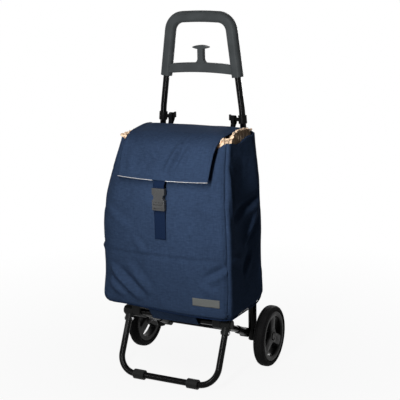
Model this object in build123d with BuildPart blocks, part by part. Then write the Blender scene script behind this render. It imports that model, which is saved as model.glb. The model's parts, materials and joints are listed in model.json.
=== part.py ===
"""Two-wheeled shopping trolley: a tube frame with a loop handle, a folding foot and a soft bag.

Millimetres, +Z up, the front (buckle and foot) towards -Y, the wheels and handle towards +Y.
The origin is on the ground, in the middle of the width and of the depth.
"""

import os
from math import atan2, cos, hypot, radians, sin

from build123d import *

os.makedirs("parts", exist_ok=True)

# Overall sizes
overall_height = 920.0  # ground to the top of the grip
wheel_diameter = 160.0
wheel_width = 28.0
wheel_offset = 48.0  # from the middle of a post to the middle of its wheel
post_spacing = 276.0  # between the middles of the two posts

# Clearances
running_gap = 0.05  # radial, between a shaft and what turns on it
seat_gap = 0.02  # radial, between a tube and the fitting pushed over it
side_gap = 0.4  # sideways, between pieces that turn past each other
soft_gap = 0.3  # between cloth and its neighbours
through = 1000.0  # length of a cut that goes right through

# Tubes
tube_diameter = 16.0
tube_wall = 1.2
post_wall = 1.5
collar_wall = 1.5  # plastic between a handle tube and the post around it
axle_diameter = 9.0

# Frame: heights above the ground, and half widths from the middle
post_foot = 14.0  # length of post below the middle of the axle
post_top = 330.0
tube_insertion = 80.0  # length of handle tube inside its post
knee_height = 675.0  # where the handle tubes bend a second time
knee_half_width = 112.6
handle_lean = 0.1315  # sideways run of the upper tubes per unit of height
tube_bend_radius = 160.0
collar_flange = 8.0
collar_depth = 25.0
rivet_radius = 2.5
rivet_head_radius = 5.0
rivet_head_height = 2.2
head_slope = 20.0  # degrees, sides of the rivet and screw heads
plug_flange = 3.0
plug_depth = 6.0

# Grip
grip_width = 29.0
grip_depth = 26.0
grip_round = 11.0
grip_bend_radius = 38.0
grip_arch = 4.0  # slope of the top bar, from its corners to its middle
grip_arch_radius = 800.0
grip_bottom = 754.0
socket_depth = 31.0
bridge_top = 789.0  # middle of the arched bridge
bridge_height = 24.5
bridge_arch = 5.0
bridge_depth = 18.0
stem_width = 16.5
stem_flare = 12.0
stem_depth = 16.0
hook_head_width = 48.0
hook_head_height = 11.0
hook_head_middle = 828.0
grip_edge_round = 2.5  # edges of the bridge and of the hook
hook_head_round = 1.5  # tips of the hook's head

# Bag hooks on the handle tubes
bag_hook_height = 648.0
bag_hook_ring_wall = 3.0
bag_hook_ring_length = 22.0
bag_hook_reach = 29.0
bag_hook_thickness = 8.0
bag_hook_lip = 7.0
bag_hook_round = 1.2
hook_screw_radius = 1.8
hook_screw_head_radius = 3.4
hook_screw_head_height = 1.8
hook_screw_depth = 2.4

# Wheels
tyre_depth = 13.0
rim_width = 24.0
rim_wall = 10.0
web_width = 15.0
hub_radius = 21.0
spoke_width = 25.0
spoke_count = 3
window_round = 6.0
hub_boss_radius = 13.0
hub_inner_reach = 15.0  # boss, from the middle of the wheel towards the post
hub_outer_reach = 7.5  # boss, from the middle of the wheel outwards
bush_wall = 3.0
tyre_round = 8.0
tyre_groove = 1.4
spacer_radius = 8.0
axle_cap_radius = 9.0
axle_cap_height = 5.0
axle_cap_floor = 2.0

# Folding base: arms from the axle to the front corners, legs square to the arms
base_tilt = 25.5  # degrees, slope of the arms
arm_length = 176.0  # axle to the front cross tube
arm_end_wall = 8.0  # plastic round the axle
arm_sleeve_wall = 2.5
arm_cheek = 0.6  # arm fittings beyond their sleeve, at each side
arm_sleeve_reach = 52.0
arm_tube_start = 14.0
fitting_round = 1.5  # edges of the plastic fittings of the base
sleeve_end_round = 0.8
leg_bend_radius = 48.0
leg_boss_wall = 6.0  # plastic round the cross tube
leg_socket_wall = 2.8
leg_socket_reach = 28.0
leg_bracket_cheek = 1.2  # bracket beyond its socket, at each side
leg_rivet_radius = 2.0
leg_rivet_head_radius = 4.0
leg_rivet_head_height = 1.5
leg_rivet_reach = 21.5
rest_wall = 4.5
rest_length = 30.0  # along the arm, short enough to clear the bag's back when the base folds up
pivot_cap_flange = 3.0
pivot_cap_lip = 3.5  # cap beyond the outside of the cross tube
pivot_cap_depth = 9.0
foot_sleeve_wall = 4.6
foot_sleeve_sole = 4.0  # plastic between the tube and the flat underside
foot_sleeve_length = 31.0
foot_sleeve_chamfer = 1.15
foot_sleeve_half_spacing = 76.5

# Bag
cloth = 2.0
bag_back_gap = 16.0  # from the middle of the posts to the back of the bag
bag_bottom = 190.5
base_board_thickness = 3.0
base_board_margin = 6.0
# Height, half width, and reach in front of the axle at the corners and in the middle
bag_profile = (
    (190.5, 180.0, 217.0, 224.0),
    (300.0, 182.0, 217.0, 234.0),
    (378.0, 180.5, 218.5, 236.0),
    (478.0, 173.0, 204.5, 229.0),
    (556.0, 164.5, 181.0, 208.0),
    (612.0, 156.0, 163.0, 172.0),
)
collar_low = 590.0
collar_rise = 6.0
collar_lean = 7.0
collar_cloth = 1.6
loop_width = 10.0
loop_cloth = 1.6
loop_sewn_length = 26.0
loop_slack = 3.6  # room between a hook's arm and the loop round it
label_width = 72.0
label_height = 20.0
label_thickness = 0.8
label_right = 151.0
label_bottom = 217.0
tab_width = 132.0
tab_cloth = 1.8
tab_front_reach = 41.0
tab_back_reach = 22.0  # short enough to clear the bag's back when the base folds up
tab_bend_radius = 8.0

# Flap: reach in front of the axle and height, along the outside of the cloth
flap_cloth = 2.4
flap_profile = ((16.0, 627.5), (72.0, 632.0), (132.0, 631.0), (177.0, 620.0), (242.0, 517.0))
flap_bend_radius = 24.0
flap_back_half_width = 146.0
flap_fold_half_width = 128.0
flap_hem_half_width = 124.0
piping_height = 2.0

# Buckle and webbing
webbing_width = 30.0
webbing_thickness = 1.6
strap_end = 379.0
strap_top = 470.0
buckle_width = 34.0
buckle_depth = 10.0
buckle_forward = 7.2  # from the front of the strap to the front of the buckle
buckle_top = 507.0
buckle_split = 472.0
buckle_bottom = 452.0
buckle_wall = 1.5
buckle_round = 1.5
buckle_edge_round = 1.0  # edges of the buckle's front
channel_gap = 0.35
cavity_width = 25.0
cavity_depth = 5.4
cavity_height = 23.0
scoop_radius = 8.5
scoop_height = 484.0
ladder_slot = 3.5
ladder_depth = 3.0
tongue_width = 5.0
tongue_depth = 3.8
tongue_height = 20.0
prong_width = 5.0
prong_height = 17.0
prong_root = 0.7
prong_middle = 8.5  # from the middle of the buckle to the middle of a prong
pad_height = 7.0
pad_reach = 1.2
flap_strap_overlap = 26.0
flap_strap_seat = 5.5
flap_strap_bend = 3.0

# Places worked out from the sizes above
wheel_radius = wheel_diameter / 2
rim_radius = wheel_radius - tyre_depth
tube_radius = tube_diameter / 2
post_radius = tube_radius + collar_wall + post_wall
axle_radius = axle_diameter / 2
axle_z = wheel_radius
post_bottom = axle_z - post_foot
post_x = post_spacing / 2
wheel_x = post_x + wheel_offset
arm_end_radius = axle_radius + arm_end_wall
arm_sleeve_radius = tube_radius + arm_sleeve_wall
arm_fitting_half_width = arm_sleeve_radius + arm_cheek
leg_boss_radius = tube_radius + leg_boss_wall
leg_socket_radius = tube_radius + leg_socket_wall
leg_bracket_half_width = leg_socket_radius + leg_bracket_cheek
arm_half_spacing = post_x - post_radius - side_gap - arm_fitting_half_width
leg_half_spacing = arm_half_spacing + arm_fitting_half_width + side_gap + leg_bracket_half_width
pivot_cap_radius = tube_radius + pivot_cap_lip
foot_sleeve_radius = tube_radius + foot_sleeve_wall
foot_sleeve_height = tube_radius + foot_sleeve_sole
tube_bend_height = post_top + collar_flange
bag_top = bag_profile[-1][0]
grip_top_line = overall_height - grip_width / 2


def bag_reach(height):
    """Half width of the bag at a height, and how far its front corners and middle reach before the axle."""
    for low, high in zip(bag_profile, bag_profile[1:]):
        if height <= high[0]:
            break
    share = (height - low[0]) / (high[0] - low[0])
    return [a + share * (b - a) for a, b in zip(low[1:], high[1:])]


# The buckle is the foremost point and the wheels the rearmost, so they set the middle of the depth
buckle_reach = bag_reach(strap_end)[2] + soft_gap + webbing_thickness + buckle_forward
overall_depth = buckle_reach + wheel_radius
axle_y = (buckle_reach - wheel_radius) / 2
bag_back_y = axle_y - bag_back_gap
arm_cos = cos(radians(base_tilt))
arm_sin = sin(radians(base_tilt))
corner_y = axle_y - arm_length * arm_cos
corner_z = axle_z + arm_length * arm_sin
leg_length = (corner_z - foot_sleeve_height) / arm_cos

sides = (("left", -1), ("right", 1))
frame_plane = Plane(origin=(0, axle_y, 0), x_dir=(1, 0, 0), z_dir=(0, -1, 0))
leg_plane = Plane(origin=(0, corner_y, corner_z), x_dir=(1, 0, 0), z_dir=(0, -arm_cos, arm_sin))


def save(part, name):
    """Label one finished piece and write it to its own file."""
    part.label = name
    export_step(part, f"parts/{name}.step")


def along_arm(distance, rise=0.0):
    """Y and Z of a point on the arm's line, counted from the axle, moved square to it by rise."""
    y = axle_y - distance * arm_cos + rise * arm_sin
    z = axle_z + distance * arm_sin + rise * arm_cos
    return y, z


def handle_x(height):
    """Half width of the upper handle tubes at a height above the knee."""
    return knee_half_width - handle_lean * (height - knee_height)


def lower_tube_x(height):
    """Half width of the handle tubes between the post and the knee."""
    share = (height - tube_bend_height) / (knee_height - tube_bend_height)
    return post_x + share * (knee_half_width - post_x)


def bag_outline(height, inset, lean=0.0):
    """Closed outline of the bag at a height, drawn inside the outer cloth by inset."""
    half_width, corner, middle = bag_reach(min(height, bag_top))
    side = half_width - inset - lean
    back = bag_back_y - inset - lean
    front = axle_y - corner + inset + lean
    ThreePointArc((-side, front), (0, axle_y - middle + inset + lean), (side, front))
    Polyline((side, front), (side, back), (-side, back), (-side, front))


# Posts: straight tubes that carry the axle, with a plug in the foot of each
for side, sign in sides:
    with BuildPart() as post:
        with BuildSketch(Plane((sign * post_x, axle_y, post_bottom))):
            Circle(post_radius)
            Circle(post_radius - post_wall, mode=Mode.SUBTRACT)
        extrude(amount=post_top - post_bottom)
        with Locations((sign * post_x, axle_y, axle_z)):
            Cylinder(axle_radius + seat_gap, through, rotation=(0, 90, 0), mode=Mode.SUBTRACT)
        with Locations((sign * post_x, axle_y, post_top - tube_insertion / 2)):
            Cylinder(rivet_radius + seat_gap, through, rotation=(90, 0, 0), mode=Mode.SUBTRACT)
    save(post.part, f"{side}_post")

    with BuildPart() as plug:
        with BuildSketch(Plane((sign * post_x, axle_y, post_bottom - plug_flange))):
            Circle(post_radius)
        extrude(amount=plug_flange)
        fillet(plug.faces().sort_by(Axis.Z)[0].edges(), plug_flange / 2)
        with BuildSketch(Plane((sign * post_x, axle_y, post_bottom))):
            Circle(post_radius - post_wall - seat_gap)
        extrude(amount=plug_depth)
    save(plug.part, f"{side}_post_plug")

# Handle tubes: pushed into the posts, leaning inwards above them, ending inside the grip
tube_end = grip_bottom + socket_depth - side_gap
for side, sign in sides:
    with BuildPart() as handle_tube:
        with BuildLine(frame_plane) as tube_path:
            FilletPolyline(
                (sign * post_x, post_top - tube_insertion),
                (sign * post_x, tube_bend_height),
                (sign * knee_half_width, knee_height),
                (sign * handle_x(tube_end), tube_end),
                radius=tube_bend_radius,
            )
        with BuildSketch(tube_path.line ^ 0):
            Circle(tube_radius)
            Circle(tube_radius - tube_wall, mode=Mode.SUBTRACT)
        sweep()
        with Locations((sign * post_x, axle_y, post_top - tube_insertion / 2)):
            Cylinder(rivet_radius + seat_gap, through, rotation=(90, 0, 0), mode=Mode.SUBTRACT)
    save(handle_tube.part, f"{side}_handle_tube")

    with BuildPart() as collar:
        with BuildSketch(Plane((sign * post_x, axle_y, post_top))):
            Circle(post_radius + post_wall)
        extrude(amount=collar_flange)
        fillet(collar.faces().sort_by(Axis.Z)[-1].edges(), post_wall)
        with BuildSketch(Plane((sign * post_x, axle_y, post_top))):
            Circle(post_radius - post_wall - seat_gap)
        extrude(amount=-collar_depth)
        with Locations((sign * post_x, axle_y, post_top)):
            Cylinder(tube_radius + side_gap, through, mode=Mode.SUBTRACT)
    save(collar.part, f"{side}_post_collar")

with BuildPart() as post_rivets:
    for side, sign in sides:
        rivet_z = post_top - tube_insertion / 2
        for way in (-1, 1):
            head_plane = Plane((sign * post_x, axle_y + way * post_radius, rivet_z), z_dir=(0, way, 0))
            with BuildSketch(head_plane):
                Circle(rivet_head_radius)
            extrude(amount=rivet_head_height, taper=head_slope)
        with Locations((sign * post_x, axle_y, rivet_z)):
            Cylinder(rivet_radius, 2 * post_radius, rotation=(90, 0, 0))
save(post_rivets.part, "post_rivets")

# Grip: one moulding, a loop with an arched bridge and a T-shaped bag hook on the bridge
bridge_half = handle_x(bridge_top)
bridge_low = bridge_top - bridge_height
with BuildPart() as bridge:
    with BuildSketch(frame_plane):
        with BuildLine():
            top_left = (-bridge_half, bridge_top - bridge_arch)
            top_right = (bridge_half, bridge_top - bridge_arch)
            low_left = (-bridge_half, bridge_low - bridge_arch)
            low_right = (bridge_half, bridge_low - bridge_arch)
            ThreePointArc(top_left, (0, bridge_top), top_right)
            Line(top_right, low_right)
            ThreePointArc(low_right, (0, bridge_low), low_left)
            Line(low_left, top_left)
        make_face()
    extrude(amount=bridge_depth / 2, both=True)
    fillet(bridge.edges().filter_by(GeomType.CIRCLE), grip_edge_round)

stem_half = stem_width / 2
stem_foot = bridge_top - bridge_arch / 4
stem_root = bridge_low + bridge_height / 2
with BuildPart() as hook_stem:
    with BuildSketch(frame_plane):
        with BuildLine():
            Line((-stem_half, hook_head_middle), (stem_half, hook_head_middle))
            Line((stem_half, hook_head_middle), (stem_half, stem_foot + stem_flare))
            RadiusArc((stem_half, stem_foot + stem_flare), (stem_half + stem_flare, stem_foot), -stem_flare)
            Polyline(
                (stem_half + stem_flare, stem_foot),
                (stem_half + stem_flare, stem_root),
                (-stem_half - stem_flare, stem_root),
                (-stem_half - stem_flare, stem_foot),
            )
            RadiusArc((-stem_half - stem_flare, stem_foot), (-stem_half, stem_foot + stem_flare), -stem_flare)
            Line((-stem_half, stem_foot + stem_flare), (-stem_half, hook_head_middle))
        make_face()
    extrude(amount=stem_depth / 2, both=True)
    stem_sides = hook_stem.faces().sort_by(Axis.Y)
    fillet(stem_sides[0].edges() + stem_sides[-1].edges(), grip_edge_round)

head_tip = hook_head_width / 2
head_rise = hook_head_height / 2
with BuildPart() as hook_head:
    with BuildSketch(frame_plane) as lens:
        with BuildLine():
            left_tip = (-head_tip, hook_head_middle)
            right_tip = (head_tip, hook_head_middle)
            ThreePointArc(left_tip, (0, hook_head_middle + head_rise), right_tip)
            ThreePointArc(right_tip, (0, hook_head_middle - head_rise), left_tip)
        make_face()
        fillet(lens.vertices(), hook_head_round)
    extrude(amount=stem_depth / 2, both=True)
    head_sides = hook_head.faces().sort_by(Axis.Y)
    fillet(head_sides[0].edges() + head_sides[-1].edges(), hook_head_round / 2)

# The arc of the top bar starts below the point where its two slopes meet, so that point lies above the bar
arch_slope = atan2(grip_arch, handle_x(grip_top_line))
grip_peak = grip_top_line + grip_arch_radius * (1 / cos(arch_slope) - 1)
grip_corner = grip_peak - grip_arch
with BuildPart() as grip:
    with BuildLine(frame_plane) as grip_path:
        FilletPolyline(
            (-handle_x(grip_bottom), grip_bottom),
            (-handle_x(grip_corner), grip_corner),
            (0, grip_peak),
            (handle_x(grip_corner), grip_corner),
            (handle_x(grip_bottom), grip_bottom),
            radius=[grip_bend_radius, grip_arch_radius, grip_bend_radius],
        )
    with BuildSketch(Plane(grip_path.line @ 0, x_dir=(0, 1, 0), z_dir=grip_path.line % 0)):
        RectangleRounded(grip_depth, grip_width, grip_round)
    sweep()
    add(bridge.part)
    add(hook_stem.part)
    add(hook_head.part)
    for side, sign in sides:
        leg_dir = (-sign * handle_lean, 0, 1)
        with BuildSketch(Plane((sign * handle_x(grip_bottom), axle_y, grip_bottom), z_dir=leg_dir)):
            Circle(tube_radius + seat_gap)
        extrude(amount=socket_depth * hypot(1, handle_lean), both=True, mode=Mode.SUBTRACT)
save(grip.part, "handle_grip")

# Bag hooks: a ring on each handle tube with an arm that points inwards and a raised lip
tube_slope = (post_x - knee_half_width) / (knee_height - tube_bend_height)
hook_ring_radius = tube_radius + bag_hook_ring_wall
for side, sign in sides:
    hook_x = lower_tube_x(bag_hook_height)
    tube_dir = (-sign * tube_slope, 0, 1)
    ring_plane = Plane((sign * hook_x, axle_y, bag_hook_height), z_dir=tube_dir)
    tip_x = hook_x - tube_radius - bag_hook_reach
    with BuildPart() as hook_arm:
        with BuildSketch(Plane((0, axle_y, bag_hook_height), x_dir=(1, 0, 0), z_dir=(0, -1, 0))):
            with BuildLine():
                low = -bag_hook_thickness / 2
                high = bag_hook_thickness / 2
                Polyline(
                    (sign * hook_x, low - bag_hook_thickness / 4),
                    (sign * tip_x, low),
                    (sign * tip_x, high + bag_hook_lip),
                    (sign * (tip_x + bag_hook_lip / 2), high + bag_hook_lip),
                    (sign * (tip_x + bag_hook_lip), high),
                    (sign * hook_x, high),
                    close=True,
                )
            make_face()
        extrude(amount=bag_hook_thickness / 2, both=True)
        fillet(hook_arm.edges(), bag_hook_round)
    with BuildPart() as bag_hook:
        with BuildSketch(ring_plane):
            Circle(hook_ring_radius)
        extrude(amount=bag_hook_ring_length / 2, both=True)
        fillet(bag_hook.edges().filter_by(GeomType.CIRCLE), bag_hook_round)
        add(hook_arm.part)
        with BuildSketch(ring_plane):
            Circle(tube_radius + seat_gap)
        extrude(amount=through, both=True, mode=Mode.SUBTRACT)
        with Locations((sign * hook_x, axle_y + hook_ring_radius, bag_hook_height)):
            Cylinder(hook_screw_radius, hook_screw_depth * 2, rotation=(90, 0, 0), mode=Mode.SUBTRACT)
    save(bag_hook.part, f"{side}_bag_hook")

with BuildPart() as hook_screws:
    for side, sign in sides:
        head_y = axle_y + hook_ring_radius
        screw_x = sign * lower_tube_x(bag_hook_height)
        with BuildSketch(Plane((screw_x, head_y, bag_hook_height), z_dir=(0, 1, 0))):
            Circle(hook_screw_head_radius)
        extrude(amount=hook_screw_head_height, taper=head_slope)
        with BuildSketch(Plane((screw_x, head_y, bag_hook_height), z_dir=(0, -1, 0))):
            Circle(hook_screw_radius - seat_gap)
        extrude(amount=hook_screw_depth)
save(hook_screws.part, "hook_screws")

# Axle with its spacers and end caps
hub_inner_x = wheel_x - hub_inner_reach
hub_outer_x = wheel_x + hub_outer_reach
cap_x = hub_outer_x + side_gap
axle_end_x = cap_x + axle_cap_height - axle_cap_floor
axle_plane = Plane((0, axle_y, axle_z), x_dir=(0, 1, 0), z_dir=(1, 0, 0))
with BuildPart() as axle:
    with BuildSketch(axle_plane):
        Circle(axle_radius)
    extrude(amount=axle_end_x, both=True)
save(axle.part, "axle")

with BuildPart() as axle_spacers:
    for side, sign in sides:
        spacer_start = post_x + post_radius
        with BuildSketch(axle_plane.offset(sign * spacer_start)):
            Circle(spacer_radius)
            Circle(axle_radius + seat_gap, mode=Mode.SUBTRACT)
        extrude(amount=sign * (hub_inner_x - side_gap - spacer_start))
save(axle_spacers.part, "axle_spacers")

with BuildPart() as axle_caps:
    for side, sign in sides:
        with BuildSketch(axle_plane.offset(sign * cap_x)):
            Circle(axle_cap_radius)
        extrude(amount=sign * axle_cap_height)
        fillet(axle_caps.faces().sort_by(Axis.X)[0 if sign < 0 else -1].edges(), axle_cap_floor)
        with BuildSketch(axle_plane.offset(sign * cap_x)):
            Circle(axle_radius + seat_gap)
        extrude(amount=sign * (axle_cap_height - axle_cap_floor), mode=Mode.SUBTRACT)
save(axle_caps.part, "axle_caps")

# Wheels: a rubber tyre, a spoked hub in one moulding and a plain bush
rim_bed = rim_radius - rim_wall
for side, sign in sides:
    middle = axle_plane.offset(sign * wheel_x)
    with BuildPart() as tyre:
        with BuildSketch(middle):
            Circle(wheel_radius)
        extrude(amount=wheel_width / 2, both=True)
        fillet(tyre.edges(), tyre_round)
        with BuildSketch(middle):
            Circle(rim_radius + seat_gap)
        extrude(amount=through, both=True, mode=Mode.SUBTRACT)
        for way in (-1, 1):
            with BuildSketch(middle.offset(way * wheel_width / 2)):
                Circle(rim_radius + 2 * tyre_groove)
                Circle(rim_radius + tyre_groove, mode=Mode.SUBTRACT)
            extrude(amount=-way * tyre_groove, mode=Mode.SUBTRACT)
    save(tyre.part, f"{side}_tyre")

    with BuildPart() as hub:
        with BuildSketch(middle):
            Circle(rim_radius)
            Circle(rim_bed, mode=Mode.SUBTRACT)
        extrude(amount=rim_width / 2, both=True)
        with BuildSketch(middle):
            Circle(rim_bed + rim_wall / 2)
        extrude(amount=web_width / 2, both=True)
        with BuildSketch(middle) as windows:
            Circle(rim_bed)
            Circle(hub_radius, mode=Mode.SUBTRACT)
            with PolarLocations(rim_bed / 2, spoke_count, start_angle=90):
                Rectangle(rim_bed + hub_radius, spoke_width, mode=Mode.SUBTRACT)
            fillet(windows.vertices(), window_round)
        extrude(amount=through, both=True, mode=Mode.SUBTRACT)
        with BuildSketch(middle):
            Circle(hub_boss_radius)
        extrude(amount=sign * hub_outer_reach)
        with BuildSketch(middle):
            Circle(hub_boss_radius)
        extrude(amount=-sign * hub_inner_reach)
        with BuildSketch(middle):
            Circle(axle_radius + running_gap + bush_wall + seat_gap)
        extrude(amount=through, both=True, mode=Mode.SUBTRACT)
    save(hub.part, f"{side}_wheel_hub")

    with BuildPart() as bush:
        with BuildSketch(axle_plane.offset(sign * hub_inner_x)):
            Circle(axle_radius + running_gap + bush_wall)
            Circle(axle_radius + running_gap, mode=Mode.SUBTRACT)
        extrude(amount=sign * (hub_outer_x - hub_inner_x))
    save(bush.part, f"{side}_wheel_bush")

# Base arms: tubes from the axle to the front corners, with an eye fitting round the axle
arm_tube_end = arm_length - tube_radius - side_gap
arm_dir = (0, -arm_cos, arm_sin)
for side, sign in sides:
    arm_x = sign * arm_half_spacing
    arm_y, arm_z = along_arm(arm_tube_start)
    with BuildPart() as arm:
        with BuildSketch(Plane((arm_x, arm_y, arm_z), z_dir=arm_dir)):
            Circle(tube_radius)
            Circle(tube_radius - tube_wall, mode=Mode.SUBTRACT)
        extrude(amount=arm_tube_end - arm_tube_start)
    save(arm.part, f"{side}_base_arm")

    with BuildPart() as arm_end:
        with BuildSketch(axle_plane.offset(arm_x)):
            Circle(arm_end_radius)
        extrude(amount=arm_fitting_half_width, both=True)
        fillet(arm_end.edges().filter_by(GeomType.CIRCLE), fitting_round)
        with BuildSketch(Plane((arm_x, axle_y, axle_z), z_dir=arm_dir)):
            Circle(arm_sleeve_radius)
        extrude(amount=arm_sleeve_reach)
        fillet(arm_end.faces().sort_by(Axis.Y)[0].edges(), sleeve_end_round)
        with BuildSketch(Plane((arm_x, arm_y, arm_z), z_dir=arm_dir)):
            Circle(tube_radius + seat_gap)
        extrude(amount=through, mode=Mode.SUBTRACT)
        with BuildSketch(axle_plane.offset(arm_x)):
            Circle(axle_radius + running_gap)
        extrude(amount=through, both=True, mode=Mode.SUBTRACT)
    save(arm_end.part, f"{side}_arm_end")

    # Corner block: holds the arm and the cross tube, and carries the front of the bag on its flat top
    with BuildPart() as bag_rest:
        low = -tube_radius - rest_wall
        rest_top = bag_bottom - soft_gap
        with BuildSketch(Plane.YZ.offset(arm_x)):
            with BuildLine():
                back_low = along_arm(arm_length - rest_length, low)
                front_low = along_arm(arm_length, low)
                Polyline(
                    back_low,
                    front_low,
                    (corner_y - leg_boss_radius, corner_z),
                    (corner_y - leg_boss_radius, rest_top),
                    (back_low[0], rest_top),
                    close=True,
                )
            make_face()
            with Locations((corner_y, corner_z)):
                Circle(leg_boss_radius)
        extrude(amount=arm_fitting_half_width, both=True)
        block_sides = bag_rest.faces().sort_by(Axis.X)
        fillet(block_sides[0].edges() + block_sides[-1].edges(), fitting_round)
        with BuildSketch(Plane((arm_x, arm_y, arm_z), z_dir=arm_dir)):
            Circle(tube_radius + seat_gap)
        extrude(amount=arm_length - arm_tube_start, mode=Mode.SUBTRACT)
        with BuildSketch(Plane.YZ.offset(arm_x)):
            with Locations((corner_y, corner_z)):
                Circle(tube_radius + seat_gap)
        extrude(amount=through, both=True, mode=Mode.SUBTRACT)
    save(bag_rest.part, f"{side}_bag_rest")

# Front cross tube: joins the corner blocks and is the hinge of the foot
cross_half_length = leg_half_spacing + leg_bracket_half_width
cross_plane = Plane((0, corner_y, corner_z), x_dir=(0, 1, 0), z_dir=(1, 0, 0))
with BuildPart() as cross_tube:
    with BuildSketch(cross_plane):
        Circle(tube_radius)
        Circle(tube_radius - tube_wall, mode=Mode.SUBTRACT)
    extrude(amount=cross_half_length, both=True)
save(cross_tube.part, "front_cross_tube")

with BuildPart() as pivot_caps:
    for side, sign in sides:
        cap_plane = cross_plane.offset(sign * cross_half_length)
        with BuildSketch(cap_plane.offset(sign * side_gap)):
            Circle(pivot_cap_radius)
        extrude(amount=sign * pivot_cap_flange)
        outer_face = pivot_caps.faces().sort_by(Axis.X)[0 if sign < 0 else -1]
        fillet(outer_face.edges(), pivot_cap_flange / 2)
        with BuildSketch(cap_plane.offset(sign * side_gap)):
            Circle(tube_radius - tube_wall - seat_gap)
        extrude(amount=-sign * (pivot_cap_depth + side_gap))
save(pivot_caps.part, "pivot_caps")

# Foot: a U-shaped tube in two hinged sockets, standing on two sleeves
leg_start = leg_boss_radius + side_gap
with BuildPart() as foot_tube:
    with BuildLine(leg_plane) as foot_path:
        FilletPolyline(
            (-leg_half_spacing, -leg_start),
            (-leg_half_spacing, -leg_length),
            (leg_half_spacing, -leg_length),
            (leg_half_spacing, -leg_start),
            radius=leg_bend_radius,
        )
    with BuildSketch(foot_path.line ^ 0):
        Circle(tube_radius)
        Circle(tube_radius - tube_wall, mode=Mode.SUBTRACT)
    sweep()
    rivet_y, rivet_z = along_arm(arm_length, -leg_rivet_reach)
    with Locations((0, rivet_y, rivet_z)):
        Cylinder(leg_rivet_radius, through, rotation=(0, 90, 0), mode=Mode.SUBTRACT)
save(foot_tube.part, "foot_tube")

leg_dir = (0, -arm_sin, -arm_cos)
for side, sign in sides:
    leg_x = sign * leg_half_spacing
    with BuildPart() as leg_bracket:
        with BuildSketch(cross_plane.offset(leg_x)):
            Circle(leg_boss_radius)
        extrude(amount=leg_bracket_half_width, both=True)
        fillet(leg_bracket.edges().filter_by(GeomType.CIRCLE), fitting_round)
        with BuildSketch(Plane((leg_x, corner_y, corner_z), z_dir=leg_dir)):
            Circle(leg_socket_radius)
        extrude(amount=leg_socket_reach)
        fillet(leg_bracket.faces().sort_by(Axis.Z)[0].edges(), sleeve_end_round)
        with BuildSketch(Plane((leg_x, corner_y, corner_z), z_dir=leg_dir).offset(leg_start)):
            Circle(tube_radius + seat_gap)
        extrude(amount=through, mode=Mode.SUBTRACT)
        with BuildSketch(cross_plane.offset(leg_x)):
            Circle(tube_radius + running_gap)
        extrude(amount=through, both=True, mode=Mode.SUBTRACT)
        with Locations((leg_x, rivet_y, rivet_z)):
            Cylinder(leg_rivet_radius, through, rotation=(0, 90, 0), mode=Mode.SUBTRACT)
    save(leg_bracket.part, f"{side}_leg_bracket")

    sleeve_x = sign * foot_sleeve_half_spacing
    sleeve_y, sleeve_z = along_arm(arm_length, -leg_length)
    with BuildPart() as foot_sleeve:
        sleeve_plane = Plane((sleeve_x, sleeve_y, sleeve_z), x_dir=(0, 1, 0), z_dir=(1, 0, 0))
        with BuildSketch(sleeve_plane):
            Circle(foot_sleeve_radius)
        extrude(amount=foot_sleeve_length / 2, both=True)
        chamfer(foot_sleeve.edges(), foot_sleeve_chamfer)
        with BuildSketch(sleeve_plane):
            Circle(tube_radius + seat_gap)
        extrude(amount=through, both=True, mode=Mode.SUBTRACT)
        split(bisect_by=Plane.XY, keep=Keep.TOP)
    save(foot_sleeve.part, f"{side}_foot_sleeve")

with BuildPart() as leg_rivets:
    for side, sign in sides:
        for way in (-1, 1):
            head_x = sign * leg_half_spacing + way * leg_socket_radius
            with BuildSketch(Plane((head_x, rivet_y, rivet_z), z_dir=(way, 0, 0))):
                Circle(leg_rivet_head_radius)
            extrude(amount=leg_rivet_head_height, taper=head_slope)
        with Locations((sign * leg_half_spacing, rivet_y, rivet_z)):
            Cylinder(leg_rivet_radius - seat_gap, leg_socket_radius * 2, rotation=(0, 90, 0))
save(leg_rivets.part, "leg_rivets")

# Bag: sewn from front, back, side and base panels, which meet edge to edge at the seams
with BuildPart() as front_panel:
    for height, half_width, corner, middle in bag_profile:
        corner_front = axle_y - corner
        middle_front = axle_y - middle
        with BuildSketch(Plane.XY.offset(height)):
            with BuildLine():
                ThreePointArc((-half_width, corner_front), (0, middle_front), (half_width, corner_front))
                Line((half_width, corner_front), (half_width, corner_front + cloth))
                ThreePointArc(
                    (half_width, corner_front + cloth),
                    (0, middle_front + cloth),
                    (-half_width, corner_front + cloth),
                )
                Line((-half_width, corner_front + cloth), (-half_width, corner_front))
            make_face()
    loft(ruled=True)
save(front_panel.part, "bag_front_panel")

for side, sign in sides:
    with BuildPart() as side_panel:
        for height, half_width, corner, middle in bag_profile:
            front_end = axle_y - corner + cloth
            back_end = bag_back_y - cloth
            with BuildSketch(Plane.XY.offset(height)):
                with Locations((sign * (half_width - cloth / 2), (front_end + back_end) / 2)):
                    Rectangle(cloth, back_end - front_end)
        loft(ruled=True)
    save(side_panel.part, f"bag_{side}_panel")

with BuildPart() as back_panel:
    for height, half_width, corner, middle in bag_profile:
        with BuildSketch(Plane.XY.offset(height)):
            with Locations((0, bag_back_y - cloth / 2)):
                Rectangle(half_width * 2, cloth)
    loft(ruled=True)
save(back_panel.part, "bag_back_panel")

with BuildPart() as base_panel:
    with BuildSketch(Plane.XY.offset(bag_bottom)):
        with BuildLine():
            bag_outline(bag_bottom, cloth + soft_gap)
        make_face()
    extrude(amount=cloth)
save(base_panel.part, "bag_base_panel")

with BuildPart() as base_board:
    with BuildSketch(Plane.XY.offset(bag_bottom + cloth)):
        with BuildLine():
            bag_outline(bag_bottom, cloth + base_board_margin)
        make_face()
    extrude(amount=base_board_thickness)
save(base_board.part, "base_board")

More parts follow.
